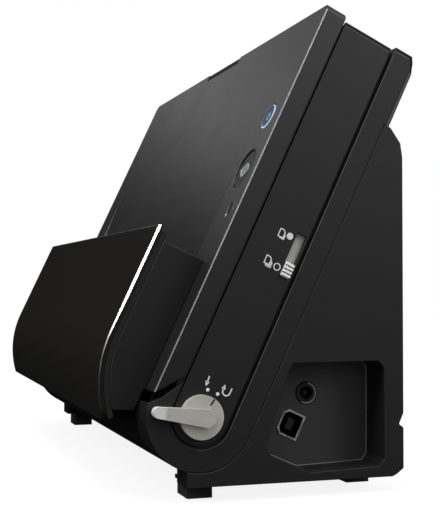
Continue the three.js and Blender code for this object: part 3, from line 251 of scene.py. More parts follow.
def noise(tree, where, scale, detail=3.0, stretch=None):
    if stretch:
        squeeze = tree.nodes.new("ShaderNodeMapping")
        squeeze.inputs["Scale"].default_value = stretch
        tree.links.new(where, squeeze.inputs["Vector"])
        where = squeeze.outputs[0]
    node = tree.nodes.new("ShaderNodeTexNoise")
    node.inputs["Scale"].default_value = scale
    node.inputs["Detail"].default_value = detail
    tree.links.new(where, node.inputs["Vector"])
    return node.outputs["Fac"]


def blendColours(tree, factor, dark, light):
    node = tree.nodes.new("ShaderNodeMix")
    node.data_type = "RGBA"
    node.inputs["A"].default_value = (*dark, 1)
    if isinstance(light, tuple):
        node.inputs["B"].default_value = (*light, 1)
    else:
        tree.links.new(light, node.inputs["B"])
    tree.links.new(factor, node.inputs["Factor"])
    return node.outputs["Result"]


def roundedNormal(tree, reach):
    rounded = tree.nodes.new("ShaderNodeBevel")
    rounded.samples = 6
    rounded.inputs["Radius"].default_value = reach * mm
    return rounded.outputs[0]


def bump(tree, shader, heights, distance, normal=None):
    # heights is a list of (value, strength), laid one over the other
    for height, strength in heights:
        node = tree.nodes.new("ShaderNodeBump")
        node.inputs["Strength"].default_value = strength
        node.inputs["Distance"].default_value = distance
        tree.links.new(height, node.inputs["Height"])
        if normal is not None:
            tree.links.new(normal, node.inputs["Normal"])
        normal = node.outputs[0]
    tree.links.new(normal, shader.inputs["Normal"])


def edgeWearAndHighlightMask(tree, reach=0.5):
    # 1 along the edges, where a rounded normal parts from the true one; it places edge wear and painted edge
    # highlights
    shape = tree.nodes.new("ShaderNodeNewGeometry")
    match = tree.nodes.new("ShaderNodeVectorMath")
    match.operation = "DOT_PRODUCT"
    tree.links.new(shape.outputs["Normal"], match.inputs[0])
    tree.links.new(roundedNormal(tree, reach), match.inputs[1])
    return ramp(tree, match.outputs["Value"], 1.0, 0.0, 0.86, 0.995)


def turnsTo(tree, where, tone, start, direction, nearEnd, farEnd, colour):
    # a tone that turns to a colour between two distances from a place, along a direction
    offset = tree.nodes.new("ShaderNodeVectorMath")
    offset.operation = "SUBTRACT"
    offset.inputs[1].default_value = start
    reach = tree.nodes.new("ShaderNodeVectorMath")
    reach.operation = "DOT_PRODUCT"
    reach.inputs[1].default_value = direction
    tree.links.new(where, offset.inputs[0])
    tree.links.new(offset.outputs[0], reach.inputs[0])
    share = ramp(tree, reach.outputs["Value"], 0.0, 1.0, nearEnd, farEnd)
    mixed = blendColours(tree, share, (0, 0, 0), colour)
    tree.links.new(tone, mixed.node.inputs["A"])
    return mixed


# scales are in waves per metre, depths in metres
mouldedLook = {
    "clouds": 14.0,
    "cloudLift": 1.08,                  # how much lighter the clouds are
    "edgePatches": 60.0,
    "edgePatchesLeast": 0.25,
    "sheenPatches": 25.0,
    "rougher": (-0.015, 0.02),
    "grainDepth": 0.00012,
}


def mouldedPlastic(name, base, wornAndLitEdge, roughness, grainScale, grainBump, sheen=0.3, corner=0.4):
    # fine spark-eroded grain, faint flow clouds, and lighter edges, partly wear and partly a painted highlight
    look = mouldedLook
    material, tree, shader, where = newMaterial(name, roughness)
    grain = noise(tree, where, grainScale, 2.0)
    clouds = noise(tree, where, look["clouds"], 4.0)
    tone = blendColours(tree, ramp(tree, clouds, 0.0, 1.0), base, tuple(c * look["cloudLift"] for c in base))
    # painted highlight and wear: the edges turn to the lighter edge colour, broken up in patches
    wornAndLit = tree.nodes.new("ShaderNodeMath")
    wornAndLit.operation = "MULTIPLY"
    tree.links.new(edgeWearAndHighlightMask(tree), wornAndLit.inputs[0])
    tree.links.new(ramp(tree, noise(tree, where, look["edgePatches"]), look["edgePatchesLeast"], 1.0), wornAndLit.inputs[1])
    mixed = tree.nodes.new("ShaderNodeMix")
    mixed.data_type = "RGBA"
    mixed.inputs["B"].default_value = (*wornAndLitEdge, 1)
    tree.links.new(tone, mixed.inputs["A"])
    tree.links.new(wornAndLit.outputs[0], mixed.inputs["Factor"])
    tree.links.new(mixed.outputs["Result"], shader.inputs["Base Color"])
    smoothest, roughest = (roughness + step for step in look["rougher"])
    spread = ramp(tree, noise(tree, where, look["sheenPatches"], 2.0), smoothest, roughest)
    tree.links.new(spread, shader.inputs["Roughness"])
    shader.inputs["Specular IOR Level"].default_value = sheen
    bump(tree, shader, [(grain, grainBump)], look["grainDepth"], roundedNormal(tree, corner))
    return material


metalLook = {
    "streaks": 240.0,
    "spots": 90.0,
    "spotShade": 0.72,
    "edgeLift": 1.3,
    "rougher": (-0.08, 0.12),
    "streakBump": 0.12,
    "streakDepth": 0.00008,
}


def brushedMetal(name, base, roughness, stretch, turn=None):
    # drawn or rolled metal: streaks along one way, dull spots, bright edges
    look = metalLook
    material, tree, shader, where = newMaterial(name, roughness, 1.0)
    streaks = noise(tree, where, look["streaks"], 3.0, stretch)
    spots = noise(tree, where, look["spots"], 4.0)
    tone = blendColours(tree, ramp(tree, spots, 0.0, 1.0), tuple(c * look["spotShade"] for c in base), base)
    bright = tuple(min(1, c * look["edgeLift"]) for c in base)
    mixed = blendColours(tree, edgeWearAndHighlightMask(tree), (0, 0, 0), bright)
    tree.links.new(tone, mixed.node.inputs["A"])
    if turn:
        mixed = turnsTo(tree, where, mixed, *turn)
    tree.links.new(mixed, shader.inputs["Base Color"])
    smoothest, roughest = (roughness + step for step in look["rougher"])
    tree.links.new(ramp(tree, streaks, smoothest, roughest), shader.inputs["Roughness"])
    bump(tree, shader, [(streaks, look["streakBump"])], look["streakDepth"])
    return material


rubberLook = {
    "roughness": (0.72, 0.9),
    "tooth": 1500.0,
    "toothBump": 0.25,
    "toothDepth": 0.00015,
    "dust": 40.0,
    "dustLift": (2.2, 0.01),            # the dusty tone: so many times the base, and so much more
}


def softRubber(name, base, stretch=None):
    # matt moulded rubber with a fine tooth and dusty high spots
    look = rubberLook
    material, tree, shader, where = newMaterial(name, look["roughness"][0])
    tooth = noise(tree, where, look["tooth"], 2.0, stretch)
    dust = noise(tree, where, look["dust"], 5.0)
    times, more = look["dustLift"]
    dusty = tuple(c * times + more for c in base)
    tone = blendColours(tree, ramp(tree, dust, 0.0, 0.55, 0.45, 0.75), base, dusty)
    tree.links.new(tone, shader.inputs["Base Color"])
    tree.links.new(ramp(tree, dust, *look["roughness"]), shader.inputs["Roughness"])
    bump(tree, shader, [(tooth, look["toothBump"])], look["toothDepth"])
    return material


polishedLook = {
    "roughness": (0.1, 0.2),
    "specular": 0.18,
    "ripple": 9.0,
    "rippleBump": 0.04,
    "rippleDepth": 0.0004,
    "scuffs": 420.0,
    "scuffStretch": (1, 0.05, 1),
    "rimReach": 0.35,
}


def polishedPlastic(name, base, rim):
    # piano-black moulding: a wide ripple, hairline scuffs and a brighter edge
    look = polishedLook
    material, tree, shader, where = newMaterial(name, look["roughness"][0])
    ripple = noise(tree, where, look["ripple"], 2.0)
    scuffs = noise(tree, where, look["scuffs"], 2.0, look["scuffStretch"])
    mixed = blendColours(tree, edgeWearAndHighlightMask(tree, look["rimReach"]), base, rim)
    tree.links.new(mixed, shader.inputs["Base Color"])
    tree.links.new(ramp(tree, scuffs, *look["roughness"], 0.45, 0.75), shader.inputs["Roughness"])
    shader.inputs["Specular IOR Level"].default_value = look["specular"]
    bump(tree, shader, [(ripple, look["rippleBump"])], look["rippleDepth"])
    return material


milkyLook = {
    "roughness": (0.3, 0.44),
    "clouds": 55.0,
    "grain": 900.0,
    "grainBump": 0.06,
    "grainDepth": 0.0001,
    "seeThrough": 0.25,
    "lightReach": (0.004, 0.0035, 0.003),
}


def milkyPlastic(name, base, light, turn=None):
    # pale, slightly see-through moulding
    look = milkyLook
    material, tree, shader, where = newMaterial(name, look["roughness"][0])
    clouds = noise(tree, where, look["clouds"], 3.0)
    grain = noise(tree, where, look["grain"], 2.0)
    tone = blendColours(tree, ramp(tree, clouds, 0.0, 1.0), base, light)
    if turn:
        tone = turnsTo(tree, where, tone, *turn)
    tree.links.new(tone, shader.inputs["Base Color"])
    tree.links.new(ramp(tree, grain, *look["roughness"]), shader.inputs["Roughness"])
    shader.inputs["Subsurface Weight"].default_value = look["seeThrough"]
    shader.inputs["Subsurface Radius"].default_value = look["lightReach"]
    bump(tree, shader, [(grain, look["grainBump"])], look["grainDepth"])
    return material


boardLook = {
    "tracks": 130.0,
    "trackWidth": 0.03,
    "mask": ((0.008, 0.07, 0.03), (0.01, 0.085, 0.038)),
    "track": (0.03, 0.16, 0.07),
    "pads": 260.0,
    "copper": (0.62, 0.42, 0.2),
    "roughness": (0.38, 0.2),           # of the mask and of the copper
}


def circuitBoard(name):
    # solder mask with tracks and copper pads
    look = boardLook
    material, tree, shader, where = newMaterial(name, look["roughness"][0])
    tracks = tree.nodes.new("ShaderNodeTexBrick")
    tracks.inputs["Scale"].default_value = look["tracks"]
    tracks.inputs["Mortar Size"].default_value = look["trackWidth"]
    tracks.inputs["Color1"].default_value = (*look["mask"][0], 1)
    tracks.inputs["Color2"].default_value = (*look["mask"][1], 1)
    tracks.inputs["Mortar"].default_value = (*look["track"], 1)
    tree.links.new(where, tracks.inputs["Vector"])
    pads = ramp(tree, noise(tree, where, look["pads"], 1.0), 0.0, 1.0, 0.68, 0.7)
    mixed = blendColours(tree, pads, (0, 0, 0), look["copper"])
    tree.links.new(tracks.outputs["Color"], mixed.node.inputs["A"])
    tree.links.new(mixed, shader.inputs["Base Color"])
    tree.links.new(ramp(tree, pads, *look["roughness"], 0.0, 1.0), shader.inputs["Roughness"])
    bump(tree, shader, [(pads, 0.2)], 0.0002)
    return material


def litLens(name, base, glow, strength, turn=None):
    # a clear coloured light guide, brighter in its core
    material, tree, shader, where = newMaterial(name, 0.18)
    core = noise(tree, where, 160.0, 2.0)
    tone = blendColours(tree, ramp(tree, core, 0.0, 1.0), base, glow)
    if turn:
        tone = turnsTo(tree, where, tone, *turn)
    tree.links.new(tone, shader.inputs["Base Color"])
    tree.links.new(tone, shader.inputs["Emission Color"])
    shader.inputs["Emission Strength"].default_value = strength
    tree.links.new(ramp(tree, core, 0.12, 0.26), shader.inputs["Roughness"])
    bump(tree, shader, [(core, 0.05)], 0.0001)
    return material


def darkGlass(name, base):
    # the sensors' cover glass: smooth, with faint dust
    material, tree, shader, where = newMaterial(name, 0.06)
    dust = noise(tree, where, 700.0, 2.0)
    specks = ramp(tree, dust, 0.0, 0.4, 0.66, 0.78)
    tree.links.new(blendColours(tree, specks, base, (0.3, 0.3, 0.3)), shader.inputs["Base Color"])
    tree.links.new(ramp(tree, dust, 0.04, 0.14), shader.inputs["Roughness"])
    shader.inputs["Coat Weight"].default_value = 0.6
    bump(tree, shader, [(specks, 0.05)], 0.00005)
    return material


def paintedInk(name, base):
    # pad-printed ink: slightly uneven cover, matt
    material, tree, shader, where = newMaterial(name, 0.6)
    cover = noise(tree, where, 1800.0, 3.0)
    tone = blendColours(tree, ramp(tree, cover, 0.0, 1.0), tuple(c * 0.8 for c in base), base)
    tree.links.new(tone, shader.inputs["Base Color"])
    tree.links.new(ramp(tree, cover, 0.52, 0.68), shader.inputs["Roughness"])
    bump(tree, shader, [(cover, 0.1)], 0.00003)
    return material


knobLever = {
    "angle": 197,                       # degrees on the slab, from its back towards its top
    "tipFrom": 16.0 * mm,
    "tipTo": 17.6 * mm,
    "tipColour": (0.56, 0.56, 0.54),
}
leverTurn = math.radians(knobLever["angle"])
knobCentre = onSlab(0, 0, 0)
leverWay = (onSlab(0, math.cos(leverTurn), math.sin(leverTurn)) - knobCentre).normalized()
leverTip = (knobCentre, leverWay, knobLever["tipFrom"], knobLever["tipTo"], knobLever["tipColour"])
edgeHighlightFade = {
    "from": 38,                         # slab heights between which the painted highlight on the panel's edge fades
    "to": 12,
    "colour": (0.22, 0.22, 0.22),
}
slabDown = (onSlab(0, 0, -1) - knobCentre).normalized()
highlightFade = (knobCentre, slabDown, -edgeHighlightFade["from"] * mm, -edgeHighlightFade["to"] * mm, edgeHighlightFade["colour"])
# the lamp ring shines at its lower right; the status lamp turns light grey at its lower end, a painted
# highlight that also glows faintly
lampGlow = {
    "ringPlace": (134.7, 136.4),        # the ring's middle on the cover
    "ringWay": (0.9, -0.45),            # across and up
    "ringFrom": -3.2,
    "ringTo": 3.6,
    "ringColour": (0.42, 0.62, 0.82),
    "lampFrom": 86.8,                   # slab heights
    "lampTo": 86.2,
    "lampColour": (0.3, 0.3, 0.31),
}
ringMiddle = onCover(*lampGlow["ringPlace"], 0)
ringEnd = onCover(*(Vector(lampGlow["ringPlace"]) + Vector(lampGlow["ringWay"])), 0)
ringShine = (ringMiddle, (ringEnd - ringMiddle).normalized(),
             lampGlow["ringFrom"] * mm, lampGlow["ringTo"] * mm, lampGlow["ringColour"])
lampLowerHighlight = (knobCentre, slabDown, -lampGlow["lampFrom"] * mm, -lampGlow["lampTo"] * mm, lampGlow["lampColour"])

# painted shade: the socket's shell turns dark inside
socketShadeInside = {
    "front": 129.6 * mm,
    "darkFrom": 0.3 * mm,
    "darkTo": 1.0 * mm,
    "colour": (0.015, 0.015, 0.015),
}
socketInnerShade = ((socketShadeInside["front"], 0, 0), (-1, 0, 0),
                socketShadeInside["darkFrom"], socketShadeInside["darkTo"], socketShadeInside["colour"])

recipes = {
    # base, edge colour (wear and painted highlight), roughness, grain size and depth, sheen, reach of the
    # rounded corners
    mouldedPlastic: {
        "coverPlastic": ((0.0105, 0.0105, 0.0112), (0.045, 0.045, 0.048), 0.27, 2600, 0.02, 0.4, 1.1),
        "panelPlastic": ((0.0074, 0.0074, 0.008), (0.03, 0.03, 0.03), 0.46, 1100, 0.14),
        "housingPlastic": ((0.0066, 0.0066, 0.0072), (0.03, 0.03, 0.03), 0.5, 900, 0.2),
        "innerPlastic": ((0.004, 0.004, 0.0045), (0.011, 0.011, 0.011), 0.6, 900, 0.18),
        "trayPlastic": ((0.0055, 0.0053, 0.0055), (0.08, 0.08, 0.08), 0.42, 1200, 0.12),
        "buttonPlastic": ((0.0078, 0.0078, 0.0085), (0.03, 0.03, 0.03), 0.34, 1500, 0.08),
        "shutterPlastic": ((0.42, 0.42, 0.41), (0.5, 0.5, 0.5), 0.45, 1200, 0.1),
        "powerPlastic": ((0.013, 0.026, 0.042), (0.03, 0.055, 0.09), 0.3, 1500, 0.08),
        # painted light: the recess floor's plate, lighter than the housing around it
        "recessPlastic": ((0.03, 0.029, 0.031), (0.05, 0.05, 0.05), 0.5, 900, 0.2),
        # painted highlight: light lines on the band's edge and the side panels' tops
        "rubbedPlastic": ((0.06, 0.06, 0.058), (0.09, 0.09, 0.088), 0.42, 900, 0.16),
        # painted highlight: the band's back bevel and its top line
        "bevelPlastic": ((0.12, 0.112, 0.104), (0.16, 0.15, 0.14), 0.45, 900, 0.2),
        # painted shade: near-black lines beside the band and panel edges, the oval round the status lamp, and
        # the open lever
        "shadePlastic": ((0.007, 0.007, 0.007), (0.009, 0.009, 0.009), 0.6, 900, 0.2, 0.12),
        # painted highlight: light lines on the recess floor's rim, the inlet and the status lamp's oval
        "rimPlastic": ((0.3, 0.3, 0.3), (0.4, 0.4, 0.4), 0.4, 900, 0.16),
    },
    # base and rim
    polishedPlastic: {
        "pianoBlack": ((0.0105, 0.0098, 0.009), (0.03, 0.03, 0.03)),
    },
    # two tones of its clouds, and where it turns lighter
    milkyPlastic: {
        "knobPlastic": ((0.365, 0.355, 0.325), (0.42, 0.41, 0.38), leverTip),
        "switchPlastic": ((0.72, 0.72, 0.7), (0.85, 0.85, 0.83)),
    },
    # colour, and the stretch of its tooth
    softRubber: {
        "footRubber": ((0.008, 0.008, 0.008),),
        "rollerRubber": ((0.03, 0.03, 0.032), (0.2, 1, 1)),
        "beltRubber": ((0.012, 0.012, 0.012),),
    },
    # colour, roughness, stretch of its streaks, and where it turns dark: painted shade inside the socket, the
    # fade of the panel edge's painted highlight
    brushedMetal: {
        "shaftSteel": ((0.56, 0.57, 0.58), 0.28, (0.05, 1, 1)),
        "motorSteel": ((0.42, 0.43, 0.45), 0.4, (1, 1, 0.08)),
        "blackSteel": ((0.012, 0.012, 0.013), 0.6, (1, 1, 0.08)),
        "shellMetal": ((0.7, 0.68, 0.64), 0.3, (0.2, 1, 1), socketInnerShade),
        # painted highlight on the glossy panel's chamfer, fading lower down
        "silverEdge": ((0.66, 0.66, 0.65), 0.34, (0.3, 1, 1), highlightFade),
        # painted highlight along the cover's front side edges
        "clearedEdge": ((0.5, 0.5, 0.52), 0.42, (0.3, 1, 1)),
    },
    # edge, core, strength, and where it shines
    litLens: {
        "blueRing": ((0.03, 0.07, 0.14), (0.05, 0.1, 0.18), 0.4, ringShine),
        # painted highlight at the status window's lower end
        "lampLens": ((0.006, 0.006, 0.006), (0.01, 0.01, 0.01), 0.1, lampLowerHighlight),
        "blueInk": ((0.1, 0.2, 0.36), (0.2, 0.38, 0.6), 0.2),
    },
    circuitBoard: {
        "board": (),
    },
    # colour
    darkGlass: {
        "sensorGlass": ((0.012, 0.013, 0.016),),
    },
    # colour
    paintedInk: {
        "whiteInk": ((0.7, 0.7, 0.7),),
        "paleInk": ((0.2, 0.25, 0.235),),
        # print on the start button, and painted shade in the grip's grooves
        "greyInk": ((0.09, 0.1, 0.1),),
        "faintInk": ((0.13, 0.13, 0.13),),
        "blackInk": ((0.012, 0.012, 0.012),),
    },
}
finishes = {name: make(name, *values) for make, group in recipes.items() for name, values in group.items()}

dressed = {
    "coverPlastic": ("front_cover",),
    "panelPlastic": ("right_side_panel", "left_side_panel"),
    "housingPlastic": ("rear_housing", "base_plate"),
    "innerPlastic": ("bottom_cover", "front_guide_plate", "rear_guide_plate", "rear_image_sensor",
        "front_image_sensor", "data_socket_tongue", "eject_panel_back", "eject_path_flap", "latch_bar",
        "guide_pinion", "power_inlet"),
    "trayPlastic": ("eject_tray", "eject_support", "feed_support", "feed_extension",
        "document_guide_right", "document_guide_left"),
    "pianoBlack": ("eject_panel",),
    "buttonPlastic": ("start_button",),
    "powerPlastic": ("power_button",),
    "lampLens": ("status_window",),
    # painted shade: the open lever takes the near-black shade finish
    "shadePlastic": ("open_lever",),
    "knobPlastic": ("eject_path_knob",),
    "blueRing": ("power_light_ring",),
    "switchPlastic": ("feed_selection_lever",),
    "shutterPlastic": ("selector_shutter", "feed_pulley", "registration_pulley", "eject_pulley",
        "motor_pulley"),
    "footRubber": ("foot_front_right", "foot_front_left", "foot_rear_right", "foot_rear_left"),
    "rollerRubber": ("feed_roller", "registration_roller", "eject_roller", "separation_roller",
        "registration_pinch_roller", "eject_pinch_roller"),
    "beltRubber": ("drive_belt",),
    "shaftSteel": ("feed_shaft", "registration_shaft", "eject_shaft", "hinge_pin_right", "hinge_pin_left"),
    "motorSteel": ("feed_motor",),
    "blackSteel": ("right_side_frame", "left_side_frame"),
    "shellMetal": ("data_socket",),
    "board": ("main_board", "control_board"),
    "sensorGlass": ("rear_sensor_glass", "front_sensor_glass"),
}
for finish, names in dressed.items():
    for name in names:
        piece = nodes[name]
        piece.data.materials.clear()
        piece.data.materials.append(finishes[finish])
print("nodes dressed:", sum(len(names) for names in dressed.values()))


# softened edges, on the nodes that the camera sees
softEdges = {
    # node: width of its rounded edges in millimetres
    "front_cover": 0.35, "right_side_panel": 0.3, "left_side_panel": 0.3, "rear_housing": 0.35,
    "bottom_cover": 0.3, "base_plate": 0.3, "eject_panel_back": 0.3, "eject_tray": 0.3,
    "power_button": 0.25, "power_light_ring": 0.12, "start_button": 0.25, "open_lever": 0.25,
    "feed_selection_lever": 0.2, "selector_shutter": 0.1, "eject_path_knob": 1.3, "status_window": 0.1,
    "eject_support": 0.3,
    "feed_support": 0.3, "feed_extension": 0.25, "document_guide_right": 0.25, "document_guide_left": 0.25,
    "foot_front_right": 0.3, "foot_front_left": 0.3, "foot_rear_right": 0.3, "foot_rear_left": 0.3,
    "power_inlet": 0.12, "data_socket": 0.12, "data_socket_tongue": 0.08, "latch_bar": 0.15,
}
edgeSteps = 2
sharpFrom = 35                          # degrees between two faces
for name, width in softEdges.items():
    rounding = nodes[name].modifiers.new("softEdge", "BEVEL")
    rounding.width = width * mm
    rounding.segments = edgeSteps
    rounding.limit_method = "ANGLE"
    rounding.angle_limit = math.radians(sharpFrom)
    rounding.harden_normals = True
print("edges softened:", len(softEdges))


# small pieces that ride on the nodes
def meshPiece(name, points, faces, finish, body):
    mesh = bpy.data.meshes.new(name)
    mesh.from_pydata([tuple(p) for p in points], [], faces)
    mesh.materials.append(finishes[finish])
    piece = bpy.data.objects.new(name, mesh)
    bpy.context.collection.objects.link(piece)
    shape = bmesh.new()
    shape.from_mesh(mesh)
    bmesh.ops.remove_doubles(shape, verts=shape.verts, dist=1e-7)
    bmesh.ops.recalc_face_normals(shape, faces=shape.faces)
    shape.to_mesh(mesh)
    shape.free()
    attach(piece, body)
    return piece


def strokeOutline(path, width, closed):
    # a mitred ribbon round a path, as a left and a right row of points
    count = len(path)
    left, right = [], []
    for i, (u, v) in enumerate(path):
        before = path[i - 1] if i or closed else path[0]
        after = path[(i + 1) % count] if i < count - 1 or closed else path[-1]
        into = Vector((u - before[0], v - before[1])).normalized() if before != (u, v) else None
        out = Vector((after[0] - u, after[1] - v)).normalized() if after != (u, v) else None
        into, out = into or out, out or into
        across = Vector((-into.y - out.y, into.x + out.x)) / (1 + into.dot(out))
        left.append((u + across.x * width / 2, v + across.y * width / 2))
        right.append((u - across.x * width / 2, v - across.y * width / 2))
    return left, right


def printedMarks(name, strokes, fills, place, thickness, finish, body):
    # strokes are (path, width, closed), fills are outlines; both are raised by the ink's thickness
    points, faces = [], []

    def prism(outline):
        first = len(points)
        count = len(outline)
        points.extend(place(u, v, 0.0) for u, v in outline)
        points.extend(place(u, v, thickness) for u, v in outline)
        faces.append(tuple(range(first + count, first + 2 * count)))
        faces.append(tuple(range(first + count - 1, first - 1, -1)))
        for i in range(count):
            j = (i + 1) % count
            faces.append((first + i, first + j, first + count + j, first + count + i))

    for path, width, closed in strokes:
        left, right = strokeOutline(path, width, closed)
        for i in range(len(path) if closed else len(path) - 1):
            j = (i + 1) % len(path)
            prism([left[i], left[j], right[j], right[i]])
    for outline in fills:
        prism(outline)
    return meshPiece(name, points, faces, finish, body)


def ring(centre, radius, count=24, start=0.0, end=360.0):
    closed = end - start >= 360
    steps = count if closed else count - 1
    return [(centre[0] + radius * math.cos(math.radians(start + (end - start) * i / steps)),
             centre[1] + radius * math.sin(math.radians(start + (end - start) * i / steps)))
            for i in range(count)]


# the glossy panel, with a chamfer down its right edge that dies away in the curve; the chamfer carries a
# painted highlight
ejectShell = {
    "front": -48.5,                     # slab depth of its flat face
    "top": 69.4,
    "arcStart": 18.0,
    "arcRadius": 55.0,
    "arcEnd": 41.6,                     # degrees
    "arcSteps": 24,
    "left": -150.0,
    "right": 135.0,
    "thickness": 2.0,
    "cut": 0.9,                         # width and depth of the chamfer on the right
    "thinCut": 0.35,                    # of the other edges
    "cutFades": (34.0, 6.0),            # heights between which the chamfer thins
    "corner": 5.0,                      # radius of the lower right corner
    "cornerSteps": 8,
}


def makeEjectShell():
    s = ejectShell
    flat = s["top"] - s["arcStart"]
    length = flat + s["arcRadius"] * math.radians(s["arcEnd"])
    centre = (s["front"] + s["arcRadius"], s["arcStart"])

    def place(x, down, depth):
        # down is the way along the profile from its top
        if down <= flat:
            return onSlab(x, s["front"] + depth, s["top"] - down)
        a = (down - flat) / s["arcRadius"]
        r = s["arcRadius"] - depth
        return onSlab(x, centre[0] - r * math.cos(a), centre[1] - r * math.sin(a))

    thin = s["thinCut"]
    high, low = (s["top"] - z for z in s["cutFades"])
    downs = {0.0, thin, high, low, flat, length - thin, length}
    downs |= {flat + (length - flat) * i / s["arcSteps"] for i in range(s["arcSteps"])}
    downs |= {length - s["corner"] * (1 - math.sin(math.radians(90 * i / s["cornerSteps"])))
              for i in range(s["cornerSteps"])}
    rows = []
    for down in sorted(downs):
        share = min(1, max(0, (down - high) / (low - high)))
        cut = s["cut"] + (thin - s["cut"]) * share
        into = max(0, down - (length - s["corner"])) / s["corner"]
        right = s["right"] - s["corner"] * (1 - math.sqrt(max(0, 1 - into * into)))
        face = thin if down in (0.0, length) else 0.0
        rows.append([place(s["left"], down, s["thickness"]), place(s["left"], down, thin),
                     place(s["left"] + thin, down, face), place(right - cut, down, face),
                     place(right, down, max(cut, face)), place(right, down, s["thickness"])])
    points = [p for row in rows for p in row]
    faces, bright = [], []
    for i in range(len(rows) - 1):
        for j in range(6):
            k = (j + 1) % 6
            faces.append((6 * i + j, 6 * i + k, 6 * i + 6 + k, 6 * i + 6 + j))
            bright.append(j == 3 or j == 2 and i in (0, len(rows) - 2))
    faces += [tuple(range(6)), tuple(range(len(points) - 6, len(points)))]
    bright += [False, False]
    shell = meshPiece("ejectShell", points, faces, "pianoBlack", "front_unit")
    # painted highlight: the chamfer's faces take the bright edge finish
    shell.data.materials.append(finishes["silverEdge"])
    for face, shines in zip(shell.data.polygons, bright):
        face.material_index = int(shines)
    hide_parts("eject_panel")


# printed signs beside the feed lever: one page and a dot, a stack of pages and a ring
feedSigns = {
    "pageWidth": 2.6,
    "pageHeight": 3.5,
    "fold": 0.9,
    "onePage": (0.1, 87.9),             # slab depth and height of its middle
    "manyPages": (-0.8, 74.4),
    "pageStep": 0.5,                    # between the sheets of the stack
    "dot": (4.1, 88.3, 1.55),
    "ring": (4.3, 73.4, 1.5),
    "line": 0.45,
    "thinLine": 0.36,                   # of the sheets behind
    "ink": 0.04,
}


def makeFeedSigns():
    s = feedSigns
    w, h, f = s["pageWidth"] / 2, s["pageHeight"] / 2, s["fold"]

    def page(centre):
        u, v = centre
        return [(u - w, v - h), (u + w, v - h), (u + w, v + h - f), (u + w - f, v + h), (u - w, v + h)]

    strokes = [(page(s["onePage"]), s["line"], True)]
    u, v = s["onePage"]
    strokes.append(([(u + w + s["pageStep"], v + h - 2 * f), (u + w + s["pageStep"], v - h - s["line"]),
                     (u - w + f, v - h - s["line"])], s["line"], False))
    strokes.append((page(s["manyPages"]), s["line"], True))
    u, v = s["manyPages"]
    for sheet in (1, 2):
        step = s["pageStep"] * sheet
        strokes.append(([(u + w + step, v + h - f - step), (u + w + step, v - h - step),
                         (u - w + step, v - h - step)], s["thinLine"], False))
    ringU, ringV, ringRadius = s["ring"]
    strokes.append((ring((ringU, ringV), ringRadius), s["line"], True))
    dotU, dotV, dotRadius = s["dot"]
    fills = [ring((dotU, dotV), dotRadius)]
    printedMarks("feedSigns", strokes, fills, onSide(slab["panelSide"]), s["ink"], "whiteInk",
                 "base")


# printed signs beside the path knob: straight path and turned path
pathSigns = {
    "dots": ((-2.0, 11.8), (2.9, 11.9)),
    "dotRadius": 0.8,
    "arrowTail": (-3.75, 17.4),
    "arrowTip": (-3.5, 12.8),
    "headLength": 2.2,
    "headWidth": 2.05,
    "turnMiddle": (6.13, 14.4),         # of the turned arrow's bend
    "turnRadius": 1.75,
    "turnRise": 2.3,
    "shaftIn": 0.8,                     # how far the shaft reaches into the head
    "hookRise": 0.4,                    # shares of the rise, at the hook and at its head's tip
    "headRise": 1.15,
    "line": 0.6,
    "ink": 0.04,
}


def arrowHead(tip, tail, length, width):
    along = (Vector(tail) - Vector(tip)).normalized()
    across = Vector((-along.y, along.x)) * width / 2
    foot = Vector(tip) + along * length
    return [tuple(tip), tuple(foot + across), tuple(foot - across)]


def makePathSigns():
    s = pathSigns
    tip, tail = Vector(s["arrowTip"]), Vector(s["arrowTail"])
    shaftEnd = tip + (tail - tip).normalized() * s["headLength"] * s["shaftIn"]
    strokes = [([tuple(tail), tuple(shaftEnd)], s["line"], False)]
    u, v = s["turnMiddle"]
    bend = ring((u, v), s["turnRadius"], 12, 180, 360)
    hook = (u - s["turnRadius"], v + s["turnRise"] * s["hookRise"])
    turned = [hook, *bend, (u + s["turnRadius"], v + s["turnRise"])]
    strokes.append((turned, s["line"], False))
    headTip = (u - s["turnRadius"], v + s["turnRise"] * s["headRise"])
    fills = [arrowHead(s["arrowTip"], s["arrowTail"], s["headLength"], s["headWidth"])]
    fills.append(arrowHead(headTip, (headTip[0], v), s["headLength"], s["headWidth"]))
    fills += [ring(dot, s["dotRadius"]) for dot in s["dots"]]
    printedMarks("pathSigns", strokes, fills, onSide(slab["panelSide"]), s["ink"], "whiteInk",
                 "base")


# the black index line on the knob's disc
knobIndex = {"angle": 80, "inner": 6.2, "outer": 9.4, "line": 0.8, "face": 152.6, "ink": 0.05}


def makeKnobIndex():
    s = knobIndex
    a = math.radians(s["angle"])
    path = [(r * math.cos(a), r * math.sin(a)) for r in (s["inner"], s["outer"])]
    printedMarks("knobIndex", [(path, s["line"], False)], [], onSide(s["face"]), s["ink"], "blackInk",
                 "path_selector")


# painted shade: dark strips laid in the grip's grooves, which lie in shadow
gripGrooves = {
    "face": 150.1,
    "depthMiddle": 9.25,                # across the slab
    "half": 2.0,
    "foot": 70.8,
    "pitch": 1.675,
    "height": 0.5,
    "ink": 0.03,
}


def makeGripGrooves():
    s = gripGrooves
    fills = []
    for groove in (1, 2, 3):
        v = s["foot"] + s["pitch"] * groove
        u, w, h = s["depthMiddle"], s["half"], s["height"] / 2
        fills.append([(u - w, v - h), (u + w, v - h), (u + w, v + h), (u - w, v + h)])
    printedMarks("gripGrooves", [], fills, onSide(s["face"]), s["ink"], "greyInk",
                 "feed_selector")


